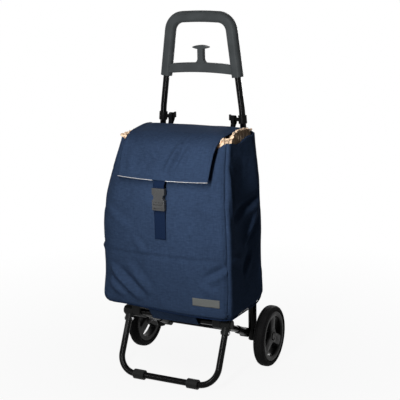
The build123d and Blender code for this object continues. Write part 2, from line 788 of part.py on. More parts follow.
# Drawstring collar: a band of thin cloth inside the mouth that leans inwards above it
collar_levels = ((collar_low, 0.0), (bag_top, 0.0), (bag_top + collar_rise, collar_lean))
with BuildPart() as mouth_collar:
    for height, lean in collar_levels:
        with BuildSketch(Plane.XY.offset(height)):
            with BuildLine():
                bag_outline(height, cloth + soft_gap, lean)
            make_face()
    loft(ruled=True)
    for height, lean in collar_levels:
        with BuildSketch(Plane.XY.offset(height)):
            with BuildLine():
                bag_outline(height, cloth + soft_gap + collar_cloth, lean)
            make_face()
    loft(ruled=True, mode=Mode.SUBTRACT)
save(mouth_collar.part, "mouth_collar")

# Hanging loops: webbing sewn to the back of the bag, looped over the bag hooks
for side, sign in sides:
    hook_tip = lower_tube_x(bag_hook_height) - tube_radius - bag_hook_reach
    loop_x = sign * (hook_tip + bag_hook_lip + loop_width / 2 + side_gap)
    loop_hole = bag_hook_thickness / 2 + loop_slack
    sewn_y = bag_back_y + loop_cloth / 2
    loop_low = bag_top - loop_sewn_length
    with BuildPart() as hanging_loop:
        with BuildSketch(Plane.YZ.offset(loop_x)):
            with Locations((axle_y, bag_hook_height)):
                Circle(loop_hole + loop_cloth)
            with BuildLine():
                Polyline(
                    (sewn_y - loop_cloth / 2, loop_low),
                    (sewn_y + loop_cloth / 2, loop_low),
                    (sewn_y + loop_cloth / 2, bag_top),
                    (axle_y + loop_hole, bag_hook_height - loop_hole),
                    (axle_y - loop_hole, bag_hook_height - loop_hole),
                    (sewn_y - loop_cloth / 2, bag_top),
                    close=True,
                )
            make_face()
            with Locations((axle_y, bag_hook_height)):
                Circle(loop_hole, mode=Mode.SUBTRACT)
        extrude(amount=loop_width / 2, both=True)
    save(hanging_loop.part, f"{side}_hanging_loop")

# Label: a bare patch that follows the front panel
with BuildPart() as label_patch:
    for height, half_width, corner, middle in bag_profile[:2]:
        with BuildSketch(Plane.XY.offset(height)):
            with BuildLine():
                for lift in (0.0, label_thickness):
                    ThreePointArc(
                        (-half_width, axle_y - corner - lift),
                        (0, axle_y - middle - lift),
                        (half_width, axle_y - corner - lift),
                    )
                for end in (-half_width, half_width):
                    Line((end, axle_y - corner), (end, axle_y - corner - label_thickness))
            make_face()
    loft(ruled=True)
    with BuildSketch(frame_plane):
        with Locations((label_right - label_width / 2, label_bottom + label_height / 2)):
            Rectangle(label_width, label_height)
    extrude(amount=through, both=True, mode=Mode.INTERSECT)
save(label_patch.part, "label_patch")

# Base tab: a strip under the bag that passes below the front cross tube and holds the bag to it
tab_low = corner_z - tube_radius - soft_gap - tab_cloth / 2
tab_high = bag_bottom - soft_gap
with BuildPart() as base_tab:
    with BuildSketch(Plane.YZ) as tab_section:
        with BuildLine() as tab_path:
            FilletPolyline(
                (corner_y - tab_front_reach, tab_high),
                (corner_y - tube_radius - tab_cloth, tab_low),
                (corner_y + tube_radius + tab_cloth, tab_low),
                (corner_y + tab_back_reach, tab_high),
                radius=tab_bend_radius,
            )
        trace(line_width=tab_cloth)
    extrude(amount=tab_width / 2, both=True)
    split(bisect_by=Plane.XY.offset(tab_high), keep=Keep.BOTTOM)
save(base_tab.part, "base_tab")

# Flap: one cloth from the back edge of the mouth, over the top and down the front
flap_points = [(axle_y - reach, height) for reach, height in flap_profile]
hem_y, hem_z = flap_points[-1]
fold_y, fold_z = flap_points[-2]
with BuildPart() as lid_flap:
    with BuildSketch(Plane.YZ):
        with BuildLine():
            FilletPolyline(*flap_points, radius=flap_bend_radius)
            offset(amount=flap_cloth, side=Side.LEFT)
        make_face()
    extrude(amount=flap_back_half_width, both=True)
    with BuildSketch(Plane.XY.offset(hem_z - flap_cloth)):
        with BuildLine():
            Polyline(
                (-flap_back_half_width, bag_back_y),
                (-flap_fold_half_width, fold_y),
                (-flap_hem_half_width, hem_y),
                (flap_hem_half_width, hem_y),
                (flap_fold_half_width, fold_y),
                (flap_back_half_width, bag_back_y),
                close=True,
            )
        make_face()
    extrude(amount=through, mode=Mode.INTERSECT)
save(lid_flap.part, "lid_flap")

flap_run = hypot(hem_y - fold_y, hem_z - fold_z)
down_y = (hem_y - fold_y) / flap_run
down_z = (hem_z - fold_z) / flap_run


def beside_hem(inwards, along):
    """Point beside the hem's outer edge, moved in through the cloth and along the flap."""
    return hem_y - inwards * down_z + along * down_y, hem_z + inwards * down_y + along * down_z


# Piping: a pale bead along the hem
with BuildPart() as flap_piping:
    with BuildSketch(Plane.YZ):
        with BuildLine():
            Polyline(
                beside_hem(0, 0),
                beside_hem(flap_cloth, 0),
                beside_hem(flap_cloth, piping_height),
                beside_hem(0, piping_height),
                close=True,
            )
        make_face()
    extrude(amount=flap_hem_half_width, both=True)
save(flap_piping.part, "flap_piping")

# Buckle places
strap_back_y = axle_y - bag_reach(strap_end)[2] - soft_gap
strap_front_y = strap_back_y - webbing_thickness
buckle_front_y = strap_front_y - buckle_forward
buckle_middle_y = buckle_front_y + buckle_depth / 2
plug_back_y = strap_back_y + channel_gap + buckle_wall
tongue_back_y = strap_front_y - channel_gap
tongue_middle_y = tongue_back_y - tongue_depth / 2
buckle_plane = Plane(origin=(0, buckle_middle_y, 0), x_dir=(1, 0, 0), z_dir=(0, -1, 0))
tongue_plane = Plane(origin=(0, tongue_middle_y, 0), x_dir=(1, 0, 0), z_dir=(0, -1, 0))

# Flap strap: webbing sewn inside the flap's hem, ending in the socket of the buckle
strap_seam = flap_cloth + webbing_thickness / 2
seam_y, seam_z = beside_hem(strap_seam, 0)
turn = (buckle_middle_y - seam_y) / down_y
flap_strap_end = buckle_top - flap_strap_seat
with BuildPart() as flap_strap:
    with BuildSketch(Plane.YZ):
        with BuildLine():
            FilletPolyline(
                beside_hem(strap_seam, -flap_strap_overlap),
                beside_hem(strap_seam, turn),
                (buckle_middle_y, flap_strap_end),
                radius=flap_strap_bend,
            )
        trace(line_width=webbing_thickness)
    extrude(amount=webbing_width / 2, both=True)
save(flap_strap.part, "flap_strap")

# Buckle socket: the half on the flap, hollow from below and scooped out at both sides
with BuildPart() as buckle_socket:
    with BuildSketch(buckle_plane):
        with Locations((0, (buckle_top + buckle_split) / 2)):
            RectangleRounded(buckle_width, buckle_top - buckle_split, buckle_round)
        with Locations(
            (-cavity_width / 2 - scoop_radius, scoop_height),
            (cavity_width / 2 + scoop_radius, scoop_height),
        ):
            Circle(scoop_radius, mode=Mode.SUBTRACT)
    extrude(amount=buckle_depth / 2, both=True)
    fillet(buckle_socket.faces().sort_by(Axis.Y)[0].edges(), buckle_edge_round)
    with BuildSketch(buckle_plane):
        with Locations((0, buckle_split + cavity_height / 2)):
            Rectangle(cavity_width, cavity_height)
    extrude(amount=cavity_depth / 2, both=True, mode=Mode.SUBTRACT)
    with BuildSketch(Plane((0, buckle_middle_y, buckle_top))):
        Rectangle(webbing_width + 2 * channel_gap, webbing_thickness + 2 * seat_gap)
    extrude(amount=-flap_strap_seat - seat_gap, mode=Mode.SUBTRACT)
save(buckle_socket.part, "buckle_socket")

# Buckle plug: the half on the bag, threaded on the front strap, with a guide tongue
plug_top = buckle_split - side_gap
with BuildPart() as buckle_plug:
    with BuildSketch(Plane.XY.offset(buckle_bottom)):
        with Locations((0, (buckle_front_y + plug_back_y) / 2)):
            RectangleRounded(buckle_width, plug_back_y - buckle_front_y, buckle_round)
    extrude(amount=plug_top - buckle_bottom)
    plug_front = buckle_plug.faces().sort_by(Axis.Y)[0]
    fillet(plug_front.edges().filter_by(Axis.X), buckle_edge_round)
    with BuildSketch(Plane.XY.offset(buckle_bottom)):
        with Locations((0, (strap_back_y + strap_front_y) / 2)):
            Rectangle(webbing_width + 2 * channel_gap, webbing_thickness + 2 * channel_gap)
    extrude(amount=through, mode=Mode.SUBTRACT)
    with BuildSketch(Plane((0, buckle_front_y, 0), x_dir=(1, 0, 0), z_dir=(0, 1, 0))):
        for share in (1, 3):
            slot_z = buckle_bottom + (plug_top - buckle_bottom) * share / 4
            with Locations((0, -slot_z)):
                Rectangle(cavity_width, ladder_slot)
    extrude(amount=ladder_depth, mode=Mode.SUBTRACT)
    with BuildSketch(tongue_plane):
        with Locations((0, plug_top + tongue_height / 2)):
            Rectangle(tongue_width, tongue_height)
    extrude(amount=tongue_depth / 2, both=True)
save(buckle_plug.part, "buckle_plug")

# Release prongs: the springy side arms of the plug, with the pads that are squeezed
for side, sign in sides:
    with BuildPart() as prong:
        with BuildSketch(tongue_plane):
            with Locations((sign * prong_middle, plug_top + prong_root + prong_height / 2)):
                Rectangle(prong_width, prong_height)
            pad_x = prong_middle + prong_width / 2 + pad_reach / 2
            with Locations((sign * pad_x, scoop_height)):
                Rectangle(pad_reach, pad_height)
        extrude(amount=tongue_depth / 2, both=True)
    save(prong.part, f"{side}_release_prong")

# Front strap: webbing that hangs from the plug and is sewn to the front panel at its lower end
with BuildPart() as front_strap:
    with BuildSketch(Plane.XY.offset(strap_end)):
        with Locations((0, (strap_back_y + strap_front_y) / 2)):
            Rectangle(webbing_width, webbing_thickness)
    extrude(amount=strap_top - strap_end)
save(front_strap.part, "front_strap")

overall_width = 2 * wheel_x + wheel_width
print(f"Width {overall_width:.1f}, depth {overall_depth:.1f}, height {overall_height:.1f}")
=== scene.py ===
# %% [markdown]
# # A two-wheeled shopping trolley
# This lesson dresses a trolley whose frame, joints and sizes are already fixed. The tubes, fittings and
# buckle stay as they are and get a finish. The cloth, the webbing and the wheels are modelled here around
# them, in metres, in the frame's own axes: +Z is up, the front with the buckle looks towards -Y and the
# wheels are at the back.

# %% Load the frame
import json
import math

import bmesh
import bpy
from mathutils import Matrix, Vector, noise
from mathutils.bvhtree import BVHTree


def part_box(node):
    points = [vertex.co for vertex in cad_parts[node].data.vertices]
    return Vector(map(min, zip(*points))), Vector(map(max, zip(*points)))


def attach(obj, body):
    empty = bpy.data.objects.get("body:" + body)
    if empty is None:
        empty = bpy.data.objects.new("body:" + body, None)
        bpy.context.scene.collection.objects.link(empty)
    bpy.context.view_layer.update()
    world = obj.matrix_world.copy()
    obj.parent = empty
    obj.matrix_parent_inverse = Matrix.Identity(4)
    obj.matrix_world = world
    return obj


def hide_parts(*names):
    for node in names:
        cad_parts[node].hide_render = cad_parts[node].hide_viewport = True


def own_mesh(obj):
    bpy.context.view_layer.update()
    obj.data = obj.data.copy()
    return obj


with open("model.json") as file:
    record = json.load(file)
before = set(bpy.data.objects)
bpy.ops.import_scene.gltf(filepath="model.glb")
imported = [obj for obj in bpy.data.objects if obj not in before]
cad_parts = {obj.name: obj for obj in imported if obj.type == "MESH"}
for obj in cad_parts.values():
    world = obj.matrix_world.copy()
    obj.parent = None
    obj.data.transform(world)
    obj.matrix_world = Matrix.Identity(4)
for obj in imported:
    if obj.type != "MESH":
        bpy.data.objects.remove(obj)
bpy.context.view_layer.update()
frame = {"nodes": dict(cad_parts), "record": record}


def short(numbers):
    """Numbers rounded for printing."""
    return [round(number, 3) for number in numbers]


# %% [markdown]
# ## The camera
# A product photo is taken from a little above and from one side with a long lens, so that upright edges
# stay nearly parallel. The camera stands on a circle round the trolley: an azimuth, an elevation, a small
# roll and a distance place it better than three coordinates would, because each number can be read off the
# picture by itself.

# %% Camera
CAMERA_AZIMUTH = math.radians(27.14)
CAMERA_ELEVATION = math.radians(12.47)
CAMERA_ROLL = math.radians(-1.05)
CAMERA_DISTANCE = 2.715
CAMERA_TARGET = Vector((-0.0056, 0.0719, 0.4304))
CAMERA_LENS = 93.1

backward = Vector((
    math.sin(CAMERA_AZIMUTH) * math.cos(CAMERA_ELEVATION),
    -math.cos(CAMERA_AZIMUTH) * math.cos(CAMERA_ELEVATION),
    math.sin(CAMERA_ELEVATION),
))
level = Vector((math.cos(CAMERA_AZIMUTH), math.sin(CAMERA_AZIMUTH), 0))
upward = backward.cross(level)
rolled_right = math.cos(CAMERA_ROLL) * level + math.sin(CAMERA_ROLL) * upward
rolled_up = backward.cross(rolled_right)
camera_data = bpy.data.cameras.new("camera")
camera_data.lens = CAMERA_LENS
camera = bpy.data.objects.new("camera", camera_data)
turn = Matrix((rolled_right, rolled_up, backward)).transposed()
camera.matrix_world = Matrix.Translation(CAMERA_TARGET + backward * CAMERA_DISTANCE) @ turn.to_4x4()
bpy.context.scene.collection.objects.link(camera)
bpy.context.scene.camera = camera
print("camera at", short(camera.location))

# %% [markdown]
# ## Studio light
# In the photo the front of the bag is brightest near its middle and falls off to the left, and its right
# side lies in shade. So the main lamp is a tall, narrow softbox close in front, just inside the plane of
# that side. It also draws the thin bright line along each upright tube. A short, weak strip to the left
# does the same for the level tubes, and two lamps further off light the back. The lamps themselves aren't
# seen.

# %% Lamps
# Name, place, point that it faces, width and height in metres, power in watts
LAMPS = (
    ("key", (0.15, -0.76, 0.84), (0.06, 0, 0.60), 0.06, 0.95, 10),
    ("glint", (-0.65, -1.27, 0.77), (0, -0.14, 0.10), 0.40, 0.05, 1.4),
    ("left_back", (-2.1, 1.3, 1.2), (0, 0, 0.4), 1.0, 1.0, 12),
    ("behind", (-0.5, 2.6, 0.9), (0, 0, 0.4), 1.0, 1.0, 30),
)
scene = bpy.context.scene
scene.view_settings.view_transform = "Standard"


def softbox(name, place, aim, width, height, power):
    """An oblong area lamp at a place, turned towards a point."""
    lamp = bpy.data.lights.new(name, "AREA")
    lamp.shape = "RECTANGLE"
    lamp.size = width
    lamp.size_y = height
    lamp.energy = power
    holder = bpy.data.objects.new(name, lamp)
    holder.location = place
    holder.rotation_euler = (Vector(aim) - Vector(place)).to_track_quat("-Z", "Y").to_euler()
    holder.visible_camera = False
    scene.collection.objects.link(holder)


for lamp_row in LAMPS:
    softbox(*lamp_row)
print("lamps", [lamp_row[0] for lamp_row in LAMPS])

# %% [markdown]
# ## The white around it
# What the camera sees of the world is plain white, and so is what shiny pieces mirror, but that white
# doesn't light the trolley. For every other ray the world is only a low fill. A light path node tells these
# rays apart. The helper that adds a node, sets what is plain and links what is not is used by every
# material further down as well.

# %% World
WORLD_FILL = 0.035
WHITE = (1, 1, 1, 1)


def add_node(tree, kind, inputs=(), **options):
    """Add a shader node, set its options, and set or link its inputs."""
    made = tree.nodes.new("ShaderNode" + kind)
    for option, value in options.items():
        setattr(made, option, value)
    for socket, value in dict(inputs).items():
        if isinstance(value, bpy.types.NodeSocket):
            tree.links.new(value, made.inputs[socket])
        else:
            made.inputs[socket].default_value = value
    return made.outputs[0]


def arithmetic(tree, operation, *values):
    """Numbers or sockets put together."""
    return add_node(tree, "Math", dict(enumerate(values)), operation=operation)


def white_seen_factor(tree):
    """1 for rays that show the background: from the camera, in a mirror or through glass."""
    path = tree.nodes.new("ShaderNodeLightPath").outputs
    mirrored = arithmetic(tree, "MAXIMUM", path["Is Camera Ray"], path["Is Glossy Ray"])
    return arithmetic(tree, "MAXIMUM", mirrored, path["Is Transmission Ray"])


world = bpy.data.worlds.new("studio")
scene.world = world
world.use_nodes = True
world_tree = world.node_tree
world_tree.nodes.clear()
fill_light = add_node(world_tree, "Background", {"Color": WHITE, "Strength": WORLD_FILL})
white_back = add_node(world_tree, "Background", {"Color": WHITE})
world_seen = {"Fac": white_seen_factor(world_tree), 1: fill_light, 2: white_back}
world_out = world_tree.nodes.new("ShaderNodeOutputWorld")
world_tree.links.new(add_node(world_tree, "MixShader", world_seen), world_out.inputs["Surface"])
print("world fill", WORLD_FILL)

# %% [markdown]
# ## The floor
# A cut-out product picture has a white ground with hardly a shadow. The floor is a wide plane whose
# material is part grey paint and part plain white that the camera sees. The paint shows most right under
# the trolley, where it takes the soft shadow, and fades out around it into the white background.

# %% Floor
FLOOR_HALF = 30.0
floor_mesh = bpy.data.meshes.new("floor")
floor_bm = bmesh.new()
bmesh.ops.create_grid(floor_bm, x_segments=1, y_segments=1, size=FLOOR_HALF)
floor_bm.to_mesh(floor_mesh)
floor_bm.free()
floor = bpy.data.objects.new("floor", floor_mesh)
scene.collection.objects.link(floor)
print("floor", 2 * FLOOR_HALF, "metres wide")

# %% White of the floor
FLOOR_PAINT = (0.35, 0.35, 0.35, 1)
FLOOR_PAINT_SHARE = 0.10  # right under the trolley
FLOOR_FADE = 1.3  # metres to where the floor is plain white


def start_finish(name, roughness, **constants):
    """A new material with its shader, and the plain values set on the shader."""
    material = bpy.data.materials.new(name)
    material.use_nodes = True
    tree = material.node_tree
    shader = tree.nodes["Principled BSDF"]
    shader.inputs["Roughness"].default_value = roughness
    for socket, value in constants.items():
        shader.inputs[socket.replace("_", " ")].default_value = value
    return material, tree, shader


floor_plain = {"Base_Color": FLOOR_PAINT, "Specular_IOR_Level": 0.0}
floor_finish, floor_tree, floor_shader = start_finish("floor_white", 0.9, **floor_plain)
floor_place = floor_tree.nodes.new("ShaderNodeTexCoord").outputs["Object"]
floor_scale = (1 / FLOOR_FADE, 1 / FLOOR_FADE, 1)
floor_spot = add_node(floor_tree, "Mapping", {"Vector": floor_place, "Scale": floor_scale})
floor_near = add_node(floor_tree, "TexGradient", {"Vector": floor_spot}, gradient_type="SPHERICAL")
floor_bare = arithmetic(floor_tree, "MULTIPLY_ADD", floor_near, -FLOOR_PAINT_SHARE, 1.0)
floor_white = arithmetic(floor_tree, "MULTIPLY", white_seen_factor(floor_tree), floor_bare)
floor_look = {"Fac": floor_white, 1: floor_shader.outputs[0], 2: add_node(floor_tree, "Emission")}
floor_out = floor_tree.nodes["Material Output"]
floor_tree.links.new(add_node(floor_tree, "MixShader", floor_look), floor_out.inputs["Surface"])
floor_mesh.materials.append(floor_finish)
print("share of paint under the trolley", FLOOR_PAINT_SHARE)

# %% [markdown]
# ## Finishes: small helpers
# A finish is a principled shader with a little variation on top: noise that shifts the colour, another that
# changes the roughness, and a height that becomes bump. Values that are the same all over go straight on
# the shader, so that they survive an export. Noise keeps near its middle, so its useful range is stretched
# before it drives anything.

# %% Finish helpers
NOISE_LOW = 0.3
NOISE_HIGH = 0.7


def place_of(tree, stretch=(1, 1, 1), cloth=False):
    """Where a point lies on the object, or along the threads of a cloth, stretched by axis."""
    coordinates = tree.nodes.new("ShaderNodeTexCoord")
    source = coordinates.outputs["UV" if cloth else "Object"]
    return add_node(tree, "Mapping", {"Vector": source, "Scale": stretch})


def speckle(tree, where, scale, detail=3.0):
    """Soft random variation between 0 and 1."""
    return add_node(tree, "TexNoise", {"Vector": where, "Scale": scale, "Detail": detail})


def between(tree, share, low, high):
    """A number that runs from low to high over the useful range of a noise."""
    limits = {"From Min": NOISE_LOW, "From Max": NOISE_HIGH, "To Min": low, "To Max": high}
    return add_node(tree, "MapRange", {"Value": share, **limits})


def two_tones(tree, share, dark, light):
    """A colour that runs from dark to light over the useful range of a noise."""
    ramp = tree.nodes.new("ShaderNodeValToRGB")
    stops = ((NOISE_LOW, dark), (NOISE_HIGH, light))
    for stop, (position, colour) in zip(ramp.color_ramp.elements, stops):
        stop.position = position
        stop.color = (*colour, 1)
    tree.links.new(share, ramp.inputs["Fac"])
    return ramp.outputs["Color"]


def blend_of(tree, first, share, second):
    """A share of the first number and the rest of the second."""
    part = arithmetic(tree, "MULTIPLY", first, share)
    rest = arithmetic(tree, "MULTIPLY", second, 1 - share)
    return arithmetic(tree, "ADD", part, rest)


def dress(tree, shader, colour, roughness, height, depth):
    """Link a colour, a roughness and a height, as bump of a depth in metres, to the shader."""
    normal = add_node(tree, "Bump", {"Height": height, "Strength": 1.0, "Distance": depth})
    tree.links.new(colour, shader.inputs["Base Color"])
    tree.links.new(roughness, shader.inputs["Roughness"])
    tree.links.new(normal, shader.inputs["Normal"])


def shade(colour, factor):
    """A colour made lighter or darker."""
    return tuple(factor * c for c in colour)


# %% [markdown]
# ## Finishes for the hard pieces
# Spray paint on tube has a faint ripple and a few scuffs. Moulded plastic has a fine grain from the tool.
# Rubber is dull, with a bloom that comes and goes. Zinc plating is bright with a brushed streak. Each is
# one short function, so that plastics of different colour share their recipe.


# %% Hard finishes
def paint_finish(name, colour):
    """Gloss black spray paint: ripple, and scuffs where it is duller."""
    constants = {"Specular_IOR_Level": 0.06, "Coat_Weight": 0.02, "Coat_Roughness": 0.05}
    material, tree, shader = start_finish(name, 0.2, **constants)
    where = place_of(tree)
    scuffs = speckle(tree, where, 38.0, 6.0)
    dust = speckle(tree, where, 9.0)
    ripple = speckle(tree, where, 420.0, 1.0)
    tones = two_tones(tree, dust, colour, shade(colour, 1.8))
    dress(tree, shader, tones, between(tree, scuffs, 0.06, 0.14), ripple, 0.00004)
    return material


def plastic_finish(name, colour, roughness, grain, shine=0.08):
    """Moulded plastic: tool grain and a slightly uneven shine."""
    material, tree, shader = start_finish(name, roughness, Specular_IOR_Level=shine)
    where = place_of(tree)
    cloud = speckle(tree, where, 26.0)
    handling = speckle(tree, where, 60.0, 5.0)
    pits = speckle(tree, where, 1500.0, 2.0)
    tones = two_tones(tree, cloud, shade(colour, 0.88), shade(colour, 1.14))
    dress(tree, shader, tones, between(tree, handling, roughness - 0.06, roughness + 0.09), pits, grain)
    return material


def rubber_finish(name, colour):
    """Tyre rubber: dull, with a pale bloom and fine roughness."""
    material, tree, shader = start_finish(name, 0.7, Specular_IOR_Level=0.03)
    where = place_of(tree)
    bloom = speckle(tree, where, 30.0, 5.0)
    pores = speckle(tree, where, 900.0, 3.0)
    tones = two_tones(tree, bloom, shade(colour, 0.8), shade(colour, 1.5))
    dress(tree, shader, tones, between(tree, bloom, 0.62, 0.8), pores, 0.00012)
    return material


def zinc_finish(name, colour):
    """Zinc plated steel with streaks along X."""
    material, tree, shader = start_finish(name, 0.35, Metallic=1.0)
    streaks = speckle(tree, place_of(tree, (30, 900, 900)), 1.0, 4.0)
    spots = speckle(tree, place_of(tree), 140.0)
    tones = two_tones(tree, spots, shade(colour, 0.7), colour)
    dress(tree, shader, tones, between(tree, streaks, 0.28, 0.48), streaks, 0.00003)
    return material


# %% Paint, plastics, rubber and zinc
black_paint = paint_finish("gloss_black_paint", (0.0016, 0.0016, 0.0018))
grip_plastic = plastic_finish("charcoal_grip", (0.046, 0.051, 0.053), 0.36, 0.00010, 0.035)
fitting_plastic = plastic_finish("black_fittings", (0.014, 0.0145, 0.0145), 0.36, 0.00008)
hook_plastic = plastic_finish("black_hooks", (0.0035, 0.0035, 0.0037), 0.3, 0.00006, 0.05)
buckle_plastic = plastic_finish("buckle_black", (0.046, 0.047, 0.048), 0.22, 0.00004, 0.3)
wheel_plastic = plastic_finish("wheel_black", (0.0085, 0.0085, 0.009), 0.34, 0.00008, 0.06)
bush_plastic = plastic_finish("bush_white", (0.6, 0.6, 0.57), 0.4, 0.00003)
board_plastic = plastic_finish("base_board_grey", (0.05, 0.05, 0.052), 0.5, 0.0001)
tyre_rubber = rubber_finish("tyre_rubber", (0.0085, 0.0085, 0.0088))
zinc = zinc_finish("zinc_plate", (0.55, 0.55, 0.56))
print("materials so far", len(bpy.data.materials))

# %% [markdown]
# ## Finishes for the cloth
# Woven polyester shows its threads only up close. From a step away it shows slubs, which are short streaks
# along the threads, and a mottle from handling, and it hardly shines. The pattern follows each piece's own
# UV map, which is laid out in metres along the threads, so a thread is the same size on every panel.
# Webbing has ribs across its width instead.

# %% Cloth finishes
WAVE_CONSTANT = 20.0  # a wave texture of scale 1 turns by this angle in a metre


def bands(tree, where, direction, period):
    """Even bands, a full wave each period in metres."""
    scale = 2 * math.pi / (WAVE_CONSTANT * period)
    return add_node(tree, "TexWave", {"Vector": where, "Scale": scale}, bands_direction=direction)


def cloth_finish(name, colour, thread, slub_depth):
    """Plain weave: warp and weft threads, slub streaks and a mottle."""
    material, tree, shader = start_finish(name, 0.8, Specular_IOR_Level=0.012)
    where = place_of(tree, cloth=True)
    weft_slubs = speckle(tree, place_of(tree, (45, 1000, 1), cloth=True), 1.0, 4.0)
    warp_slubs = speckle(tree, place_of(tree, (900, 30, 1), cloth=True), 1.0, 3.0)
    handling = speckle(tree, where, 14.0, 4.0)
    mottle = speckle(tree, place_of(tree, (110, 190, 1), cloth=True), 1.0, 3.0)
    slubs = blend_of(tree, weft_slubs, 0.6, warp_slubs)
    wear = blend_of(tree, slubs, 0.6, blend_of(tree, mottle, 0.6, handling))
    tones = two_tones(tree, wear, shade(colour, 1 - slub_depth), shade(colour, 1 + slub_depth))
    warp, weft = bands(tree, where, "X", thread), bands(tree, where, "Y", thread)
    height = arithmetic(tree, "ADD", arithmetic(tree, "MULTIPLY", warp, weft), slubs)
    dress(tree, shader, tones, between(tree, slubs, 0.7, 0.88), height, 0.00016)
    return material


def webbing_finish(name, colour, rib):
    """Woven strap: ribs across the width, with painted shade in the grooves between them."""
    material, tree, shader = start_finish(name, 0.7, Specular_IOR_Level=0.02)
    where = place_of(tree, cloth=True)
    ribs = bands(tree, where, "X", rib)
    yarns = bands(tree, where, "Y", rib * 0.6)
    fuzz = speckle(tree, where, 800.0)
    height = arithmetic(tree, "ADD", arithmetic(tree, "MULTIPLY", ribs, yarns), fuzz)
    # The colour follows the ribs: painted shade in the grooves between them, lighter on their crests.
    tones = two_tones(tree, ribs, shade(colour, 0.7), shade(colour, 1.2))
    dress(tree, shader, tones, between(tree, fuzz, 0.62, 0.8), height, 0.0003)
    return material


navy_cloth = cloth_finish("navy_polyester", (0.0250, 0.0425, 0.0830), 0.0009, 0.46)
navy_webbing = webbing_finish("navy_webbing", (0.0080, 0.0170, 0.044), 0.0016)
black_webbing = webbing_finish("black_webbing", (0.008, 0.008, 0.009), 0.0014)
beige_cotton = cloth_finish("beige_cotton", (0.90, 0.66, 0.46), 0.0006, 0.08)
label_cloth = cloth_finish("label_grey", (0.125, 0.13, 0.125), 0.0007, 0.08)
pale_piping = cloth_finish("pale_piping", (0.46, 0.46, 0.48), 0.0008, 0.06)
navy_thread = cloth_finish("navy_thread", (0.022, 0.036, 0.075), 0.0005, 0.05)
print("materials in all", len(bpy.data.materials))

# %% [markdown]
# ## Give the kept pieces their finish
# The tubes, rivets, fittings, grip and buckle already have their true shape, so they only swap the plain
# material that they came with. The record says which material slot each piece belongs to, and that decides
# its finish. Only the bag hooks differ from the other fittings: their plastic is darker.

# %% Finishes on the kept pieces
slot_finishes = {
    "black_tube": black_paint,
    "grip_plastic": grip_plastic,
    "fitting_plastic": fitting_plastic,
    "buckle_plastic": buckle_plastic,
    "steel": zinc,
    "bush_plastic": bush_plastic,
}
node_finishes = {"left_bag_hook": hook_plastic, "right_bag_hook": hook_plastic}
finished = 0
for piece in frame["record"]["subparts"]:
    finish = node_finishes.get(piece["node"], slot_finishes.get(piece["material_slot"]))
    if finish:
        finished += 1
        for place in frame["nodes"][piece["node"]].material_slots:
            place.material = finish
print("pieces with a hard finish", finished)

# %% [markdown]
# ## Making a piece
# Every new piece goes through one helper. It turns a bmesh into an object at the origin, shades it smooth,
# gives it a finish, hangs it on the body it rides on and hides the plain pieces that it stands for. Cloth
# pieces also get a UV map in metres, read from two axes of each point, so that the weave has its true size.


# %% Piece helpers
def finish_piece(name, bm, material, body, replaced=(), smooth=True):
    """Turn a bmesh into a piece of the trolley that rides on a body."""
    mesh = bpy.data.meshes.new(name)
    for face in bm.faces:
        face.smooth = smooth
    bm.to_mesh(mesh)
    bm.free()
    mesh.materials.append(material)
    piece = bpy.data.objects.new(name, mesh)
    scene.collection.objects.link(piece)
    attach(piece, body)
    if replaced:
        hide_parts(*replaced)
    print(name, len(mesh.polygons), "faces")
    return piece


def face_outwards(bm):
    """Make all faces point outwards."""
    bmesh.ops.recalc_face_normals(bm, faces=bm.faces)


def lay_threads(bm, across=lambda p: p.x, along=lambda p: p.z):
    """UV in metres: functions of a point give the place across and along the threads."""
    threads = bm.loops.layers.uv.verify()
    for face in bm.faces:
        for loop in face.loops:
            loop[threads].uv = (across(loop.vert.co), along(loop.vert.co))


def thicken(piece, thickness, offset=-1.0):
    """Give a sheet its thickness, inwards from the modelled side if the offset is -1."""
    wall = piece.modifiers.new("thickness", "SOLIDIFY")
    wall.thickness = thickness
    wall.offset = offset


def round_off(piece, levels):
    """Smooth a coarse cage into a round form."""
    surface = piece.modifiers.new("round", "SUBSURF")
    surface.levels = levels
    surface.render_levels = levels


# %% Curve helpers
def smoothstep(low, high, value):
    """0 below low, 1 above high, an even turn between."""
    share = min(1.0, max(0.0, (value - low) / (high - low)))
    return share * share * (3 - 2 * share)


def mix(first, second, share):
    """A number a share of the way from the first to the second."""
    return first + (second - first) * share


def curve_through(rows, position):
    """Smooth values of all columns at a position, through rows that start with their own position."""
    last = len(rows) - 2
    index = 0
    while index < last and position > rows[index + 1][0]:
        index += 1
    before = rows[max(index - 1, 0)]
    first, second = rows[index], rows[index + 1]
    after = rows[min(index + 2, last + 1)]
    span = second[0] - first[0]
    share = min(1.0, max(0.0, (position - first[0]) / span))
    values = []
    for column in range(1, len(first)):
        slope_in = (second[column] - before[column]) / max(second[0] - before[0], span)
        slope_out = (after[column] - first[column]) / max(after[0] - first[0], span)
        square, cube = share ** 2, share ** 3
        values.append(
            (2 * cube - 3 * square + 1) * first[column]
            + (cube - 2 * square + share) * span * slope_in
            + (3 * square - 2 * cube) * second[column]
            + (cube - square) * span * slope_out
        )
    return values


# %% [markdown]
# ## The bag
# The bag is sewn from a front, two sides, a back and a base. Its front bulges, its sides sink in a little,
# and its bottom corners flare where the base board pushes them out. It sags to the left, where the front
# corner is soft, the front turns in beside its seams, and the bottom hem hangs below the base. One shell
# carries all five panels: a cube without its lid, cut into a fine grid, is mapped to the bag's form. A few
# rows of sizes drive it: at each height, how wide the bag is in front and behind, and how far the front
# reaches before the axle at its corners and in its middle.

# %% Bag sizes
axle_low, axle_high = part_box("axle")
AXLE_Y = (axle_low.y + axle_high.y) / 2
BAG_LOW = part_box("bag_front_panel")[0].z
BAG_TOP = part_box("bag_front_panel")[1].z
BAG_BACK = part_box("bag_back_panel")[1].y
